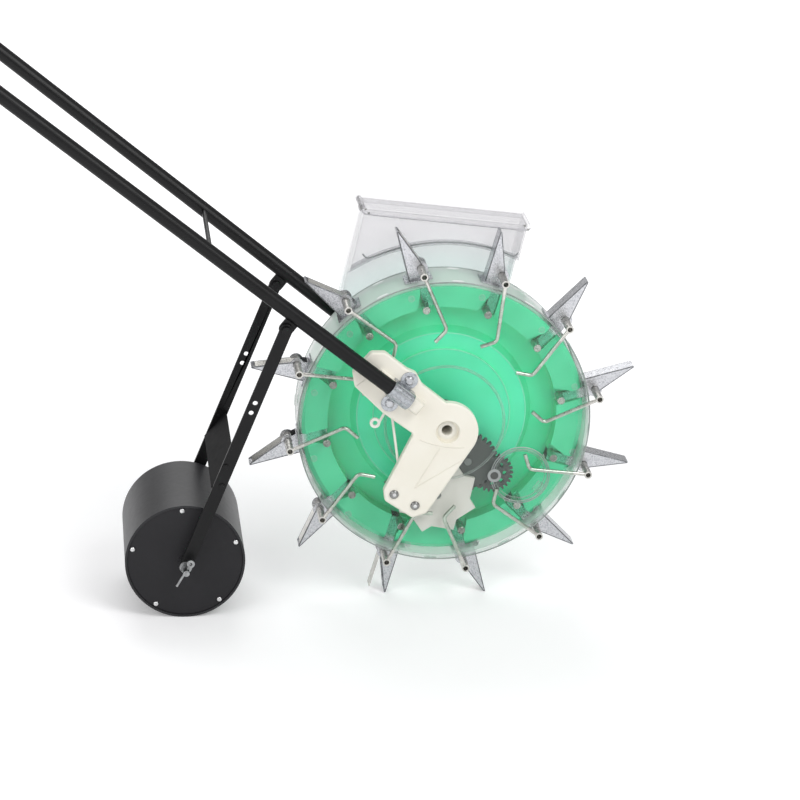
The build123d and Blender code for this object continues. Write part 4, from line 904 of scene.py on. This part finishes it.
PLATEAU_R, PLATEAU_Y = in_mm(90, -5)
STEP_R, STEP_Y = in_mm(111, -2)
LIP_R = 0.9 * MM
# The lips' paler green is a painted highlight.
grown("plateau_lips", HOOP_PAIR, "drum", Near_Radius=PLATEAU_R - LIP_R, Far_Radius=STEP_R - LIP_R,
      Wire_Radius=LIP_R, Near_Place=(0, PLATEAU_Y, 0), Far_Place=(0, STEP_Y, 0), Material=green_lip)

door_low, door_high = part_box("clean_out_door")
door_mid = middle("clean_out_door")
DOOR_R = (door_high.x - door_low.x) / 2
DOOR_LIP = 3 * MM
DOOR_HOOP_R = 0.6 * MM
door_place = (door_mid.x, door_low.y + DOOR_HOOP_R, door_mid.z)
grown("door_hoops", HOOP_PAIR, "door", Near_Radius=DOOR_R - DOOR_HOOP_R, Far_Radius=DOOR_R - DOOR_LIP,
      Wire_Radius=DOOR_HOOP_R, Near_Place=door_place, Far_Place=door_place, Material=ledge_grey)

# %% [markdown]
# ## Bracket screw heads
# Two screws go through the right bracket at its foot. Their heads are a dark zinc, a painted shade of the
# recess they sit in, and carry a small bright dome in the middle, a painted highlight; their ends are
# rounded off in the same way. The box round both screws gives their two places, so the domes follow the
# solid.

# %% Screw domes
HEAD_R = 6 * MM
HEAD_DOME = in_mm(2.4, 2.4, 0.9)
screw_low, screw_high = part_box("bracket_screws")
screws_mid = middle("bracket_screws")
half_x = (screw_high.x - screw_low.x) / 2 - HEAD_R
half_z = (screw_high.z - screw_low.z) / 2 - HEAD_R
# The bright dome is a painted highlight on the dark screw head.
grown("bracket_screw_domes", DOME_RING, "frame", Count=2, Ring_Radius=math.hypot(half_x, half_z),
      Start_Angle=math.atan2(-half_z, half_x), Dome_Size=HEAD_DOME,
      Near_Place=(screws_mid.x, screw_low.y, screws_mid.z),
      Far_Place=(screws_mid.x, screw_high.y, screws_mid.z), Material=screw_zinc_and_highlight)

# %% [markdown]
# ## Lid studs
# The lid's near lip ends in two small studs at either end, which the same ring tree gives with a count of
# two. Its two places are the ends of the lip.

# %% Studs in place
STUD_SIZE = in_mm(1.5, 1.5, 0.8)
STUD_PAIR_R = 3.4 * MM
STUD_TURN = math.radians(130)
REAR_STUDS_X, REAR_STUDS_Z = in_mm(-102, 267)
FRONT_STUDS_X, FRONT_STUDS_Z = in_mm(103.5, 245)
lid_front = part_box("hopper_lid")[0].y
grown("lid_studs", DOME_RING, "lid", Count=2, Ring_Radius=STUD_PAIR_R, Start_Angle=STUD_TURN,
      Dome_Size=STUD_SIZE, Near_Place=(REAR_STUDS_X, lid_front, REAR_STUDS_Z),
      Far_Place=(FRONT_STUDS_X, lid_front, FRONT_STUDS_Z), Material=dull_zinc_and_shade)

# %% [markdown]
# ## Pressed ribs on the straps
# The saddle straps are stiffened by ribs pressed along the tube. One rib is a straight wire, and an arc
# round the tube carries a copy at each of its points. The whole fan is then turned to the tube's angle,
# which is simpler than turning each rib.


# %% Rib fan tree
def rib_fan():
    tree = Tree("rib_fan", Count="Int", Length="Vector", Arc_Radius="Float", Start_Angle="Float",
                Sweep_Angle="Float", Wire_Radius="Float", Place="Vector", Turn="Vector")
    given = tree.given
    arc = tree.add("GeometryNodeCurveArc", Resolution=given["Count"], Radius=given["Arc Radius"],
                   Start_Angle=given["Start Angle"], Sweep_Angle=given["Sweep Angle"])
    line = tree.add("GeometryNodeCurvePrimitiveLine", Start=(0, 0, 0), End=given["Length"])
    rib = tree.wire(line, caps=True)
    fan = tree.add(
        "GeometryNodeInstanceOnPoints", Points=arc.outputs["Curve"], Instance=rib.outputs["Mesh"])
    placed = tree.add(
        "GeometryNodeTransform", Geometry=fan.outputs["Instances"], Translation=given["Place"],
        Rotation=given["Turn"])
    return tree.close(placed)


# %% Ribs in place
RIB_FAN = rib_fan()
TUBE_ANGLE = math.radians(141.7)
TUBE_SPLAY = math.radians(1.7)
CLAMP = Vector((-64, 86.5, 56)) * MM
STRAP_OUTER_R = 11.5 * MM
RIB_COUNT = 4
RIB_L = 26 * MM
RIB_R = 0.9 * MM
RIB_FROM = math.radians(205)
RIB_SWEEP = math.radians(130)

for side, name in ((-1, "strap_ribs_right"), (1, "strap_ribs_left")):
    along = Vector((
        math.cos(TUBE_ANGLE) * math.cos(TUBE_SPLAY),
        side * math.sin(TUBE_SPLAY),
        math.sin(TUBE_ANGLE) * math.cos(TUBE_SPLAY),
    ))
    across = Vector((math.sin(TUBE_ANGLE), 0, -math.cos(TUBE_ANGLE))) * -side
    turn = Matrix((across, along.cross(across), along)).transposed().to_euler()
    first = Vector((CLAMP.x, side * CLAMP.y, CLAMP.z)) - along * RIB_L / 2
    grown(name, RIB_FAN, "frame", Count=RIB_COUNT, Length=(0, 0, RIB_L), Arc_Radius=STRAP_OUTER_R,
          Start_Angle=RIB_FROM, Sweep_Angle=RIB_SWEEP, Wire_Radius=RIB_R, Place=first, Turn=tuple(turn),
          Material=clamp_zinc)

# %% [markdown]
# ## Beads on the mouldings
# Moulded parts carry thin lines where two surfaces meet: the edge of the hopper's ledge over the drum,
# the lower edge of the lid, and the creases that lead from a bracket's boss into its lower arm. Each is a
# thin bead along a short smooth path. A curve with a round bevel suits them, because only the path and a
# radius have to be given.

# %% Bead helper
BEAD_ORDER = 4
BEAD_ROUNDING = 2


def bead(name, body, paths, radius, material):
    """Thin smooth beads along paths of points, as one mesh."""
    curve = bpy.data.curves.new(name, "CURVE")
    curve.dimensions = "3D"
    curve.bevel_depth = radius
    curve.bevel_resolution = BEAD_ROUNDING
    curve.use_fill_caps = True
    for points in paths:
        spline = curve.splines.new("NURBS")
        spline.points.add(len(points) - 1)
        for knot, point in zip(spline.points, points):
            knot.co = (*point, 1)
        spline.use_endpoint_u = True
        spline.order_u = min(BEAD_ORDER, len(points))
    drawn = shown(name + "_path", curve)
    bpy.context.view_layer.update()
    piece = shown(name, plain_mesh(drawn))
    bpy.data.objects.remove(drawn)
    piece.data.materials.clear()
    piece.data.materials.append(material)
    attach(piece, body)
    print(name, len(piece.data.polygons), "faces")


def on_face(y, *steps):
    """Side-view points in millimetres, set on a plane across the planter."""
    return [(x * MM, y, z * MM) for x, z in steps]


# %% Hopper and lid beads
ARCH_MM = 225
ARCH_FROM_DEG = 114
ARCH_TO_DEG = 68
ARCH_STEP_DEG = -5
CURL_MM = 7
LEDGE_R = 1.1 * MM
LEDGE_SUNK = 1.2 * MM
arch = [
    (ARCH_MM * math.cos(math.radians(angle)), ARCH_MM * math.sin(math.radians(angle)))
    for angle in range(ARCH_FROM_DEG, ARCH_TO_DEG, ARCH_STEP_DEG)
]
rear, front = arch[0], arch[-1]
ledge = [
    (rear[0] - 2 * CURL_MM, rear[1] + CURL_MM / 2),
    (rear[0] - 1.5 * CURL_MM, rear[1] - CURL_MM / 2),
    *arch,
    (front[0] + 1.5 * CURL_MM, front[1] - CURL_MM),
    (front[0] + 2 * CURL_MM, front[1]),
]
hopper_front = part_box("hopper")[0].y
bead("hopper_ledge_line", "frame", [on_face(hopper_front + LEDGE_SUNK, *ledge)], LEDGE_R, ledge_grey)

LID_LINE = [
    (-108.5, 267.5), (-107.5, 263.8), (-101, 262.4), (-60, 258), (0, 251.9), (60, 245.6), (98, 241.6),
    (106, 241.2), (109, 244),
]
LID_LINE_R = 0.9 * MM
LID_LINE_SUNK = 0.3 * MM
bead("lid_edge_line", "lid", [on_face(lid_front + LID_LINE_SUNK, *LID_LINE)], LID_LINE_R, lid_grey)

# %% Bracket creases
CREASE_R = 1.2 * MM
CREASE_SUNK = 0.6 * MM
BOSS_CREASE = [(-36, -9.5), (-22, -15), (-8, -19), (8, -21), (22, -20.5)]
ARM_TOE = (-40.5, -75.5)
ARM_CREASES = [[(-9.5, -21.5), (-25, -48.5), ARM_TOE], [(23, -35.5), (-9, -55.5), ARM_TOE]]
# The creases are painted a darker ivory, a painted shade along each crease.
for side, name in ((-1, "bracket_creases_right"), (1, "bracket_creases_left")):
    crease_y = side * (BRACKET_FACE - CREASE_SUNK)
    paths = [on_face(crease_y, *steps) for steps in [BOSS_CREASE, *ARM_CREASES]]
    bead(name, "frame", paths, CREASE_R, ivory_crease)

# %% [markdown]
# ## Door hub
# The clean-out door swings on a headed pin inside a pale ring. The ring is made as on a lathe: a small
# profile of radius and rise, in millimetres, is spun round the pin. A swept wire can't give its flat top,
# so this one isn't a hoop.

# %% Hub ring
HUB_PROFILE = [(5.2, 0), (5.2, 1.0), (5.8, 1.4), (8.2, 1.4), (8.9, 0.9), (8.9, 0)]
HUB_TURNS = 40
PIN_HEAD_T = 1.2 * MM


def spun_ring(centre, foot_y):
    """Corners and faces of the profile, spun round an axle across the planter."""
    corners = []
    for turn in range(HUB_TURNS):
        angle = math.tau * turn / HUB_TURNS
        for radius, rise in HUB_PROFILE:
            corners.append((
                centre.x + radius * MM * math.cos(angle),
                foot_y - rise * MM,
                centre.z + radius * MM * math.sin(angle),
            ))
    count = len(HUB_PROFILE)
    faces = []
    for turn in range(HUB_TURNS):
        here, there = turn * count, (turn + 1) % HUB_TURNS * count
        for step in range(count):
            after = (step + 1) % count
            faces.append((here + step, here + after, there + after, there + step))
    return corners, faces


def hub_ring(name, node, body, material):
    """A ring round a pin, standing on the face under the pin's head."""
    centre = middle(node)
    corners, faces = spun_ring(centre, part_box(node)[0].y + PIN_HEAD_T)
    mesh = bpy.data.meshes.new(name)
    mesh.from_pydata(corners, [], faces)
    mesh.materials.append(material)
    work = bmesh.new()
    work.from_mesh(mesh)
    bmesh.ops.recalc_face_normals(work, faces=work.faces)
    work.to_mesh(mesh)
    work.free()
    piece = shown(name, mesh)
    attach(piece, body)
    print(name, "at", [round(v / MM, 1) for v in centre])


hub_ring("door_pin_ring", "door_pin", "drum", ledge_grey)
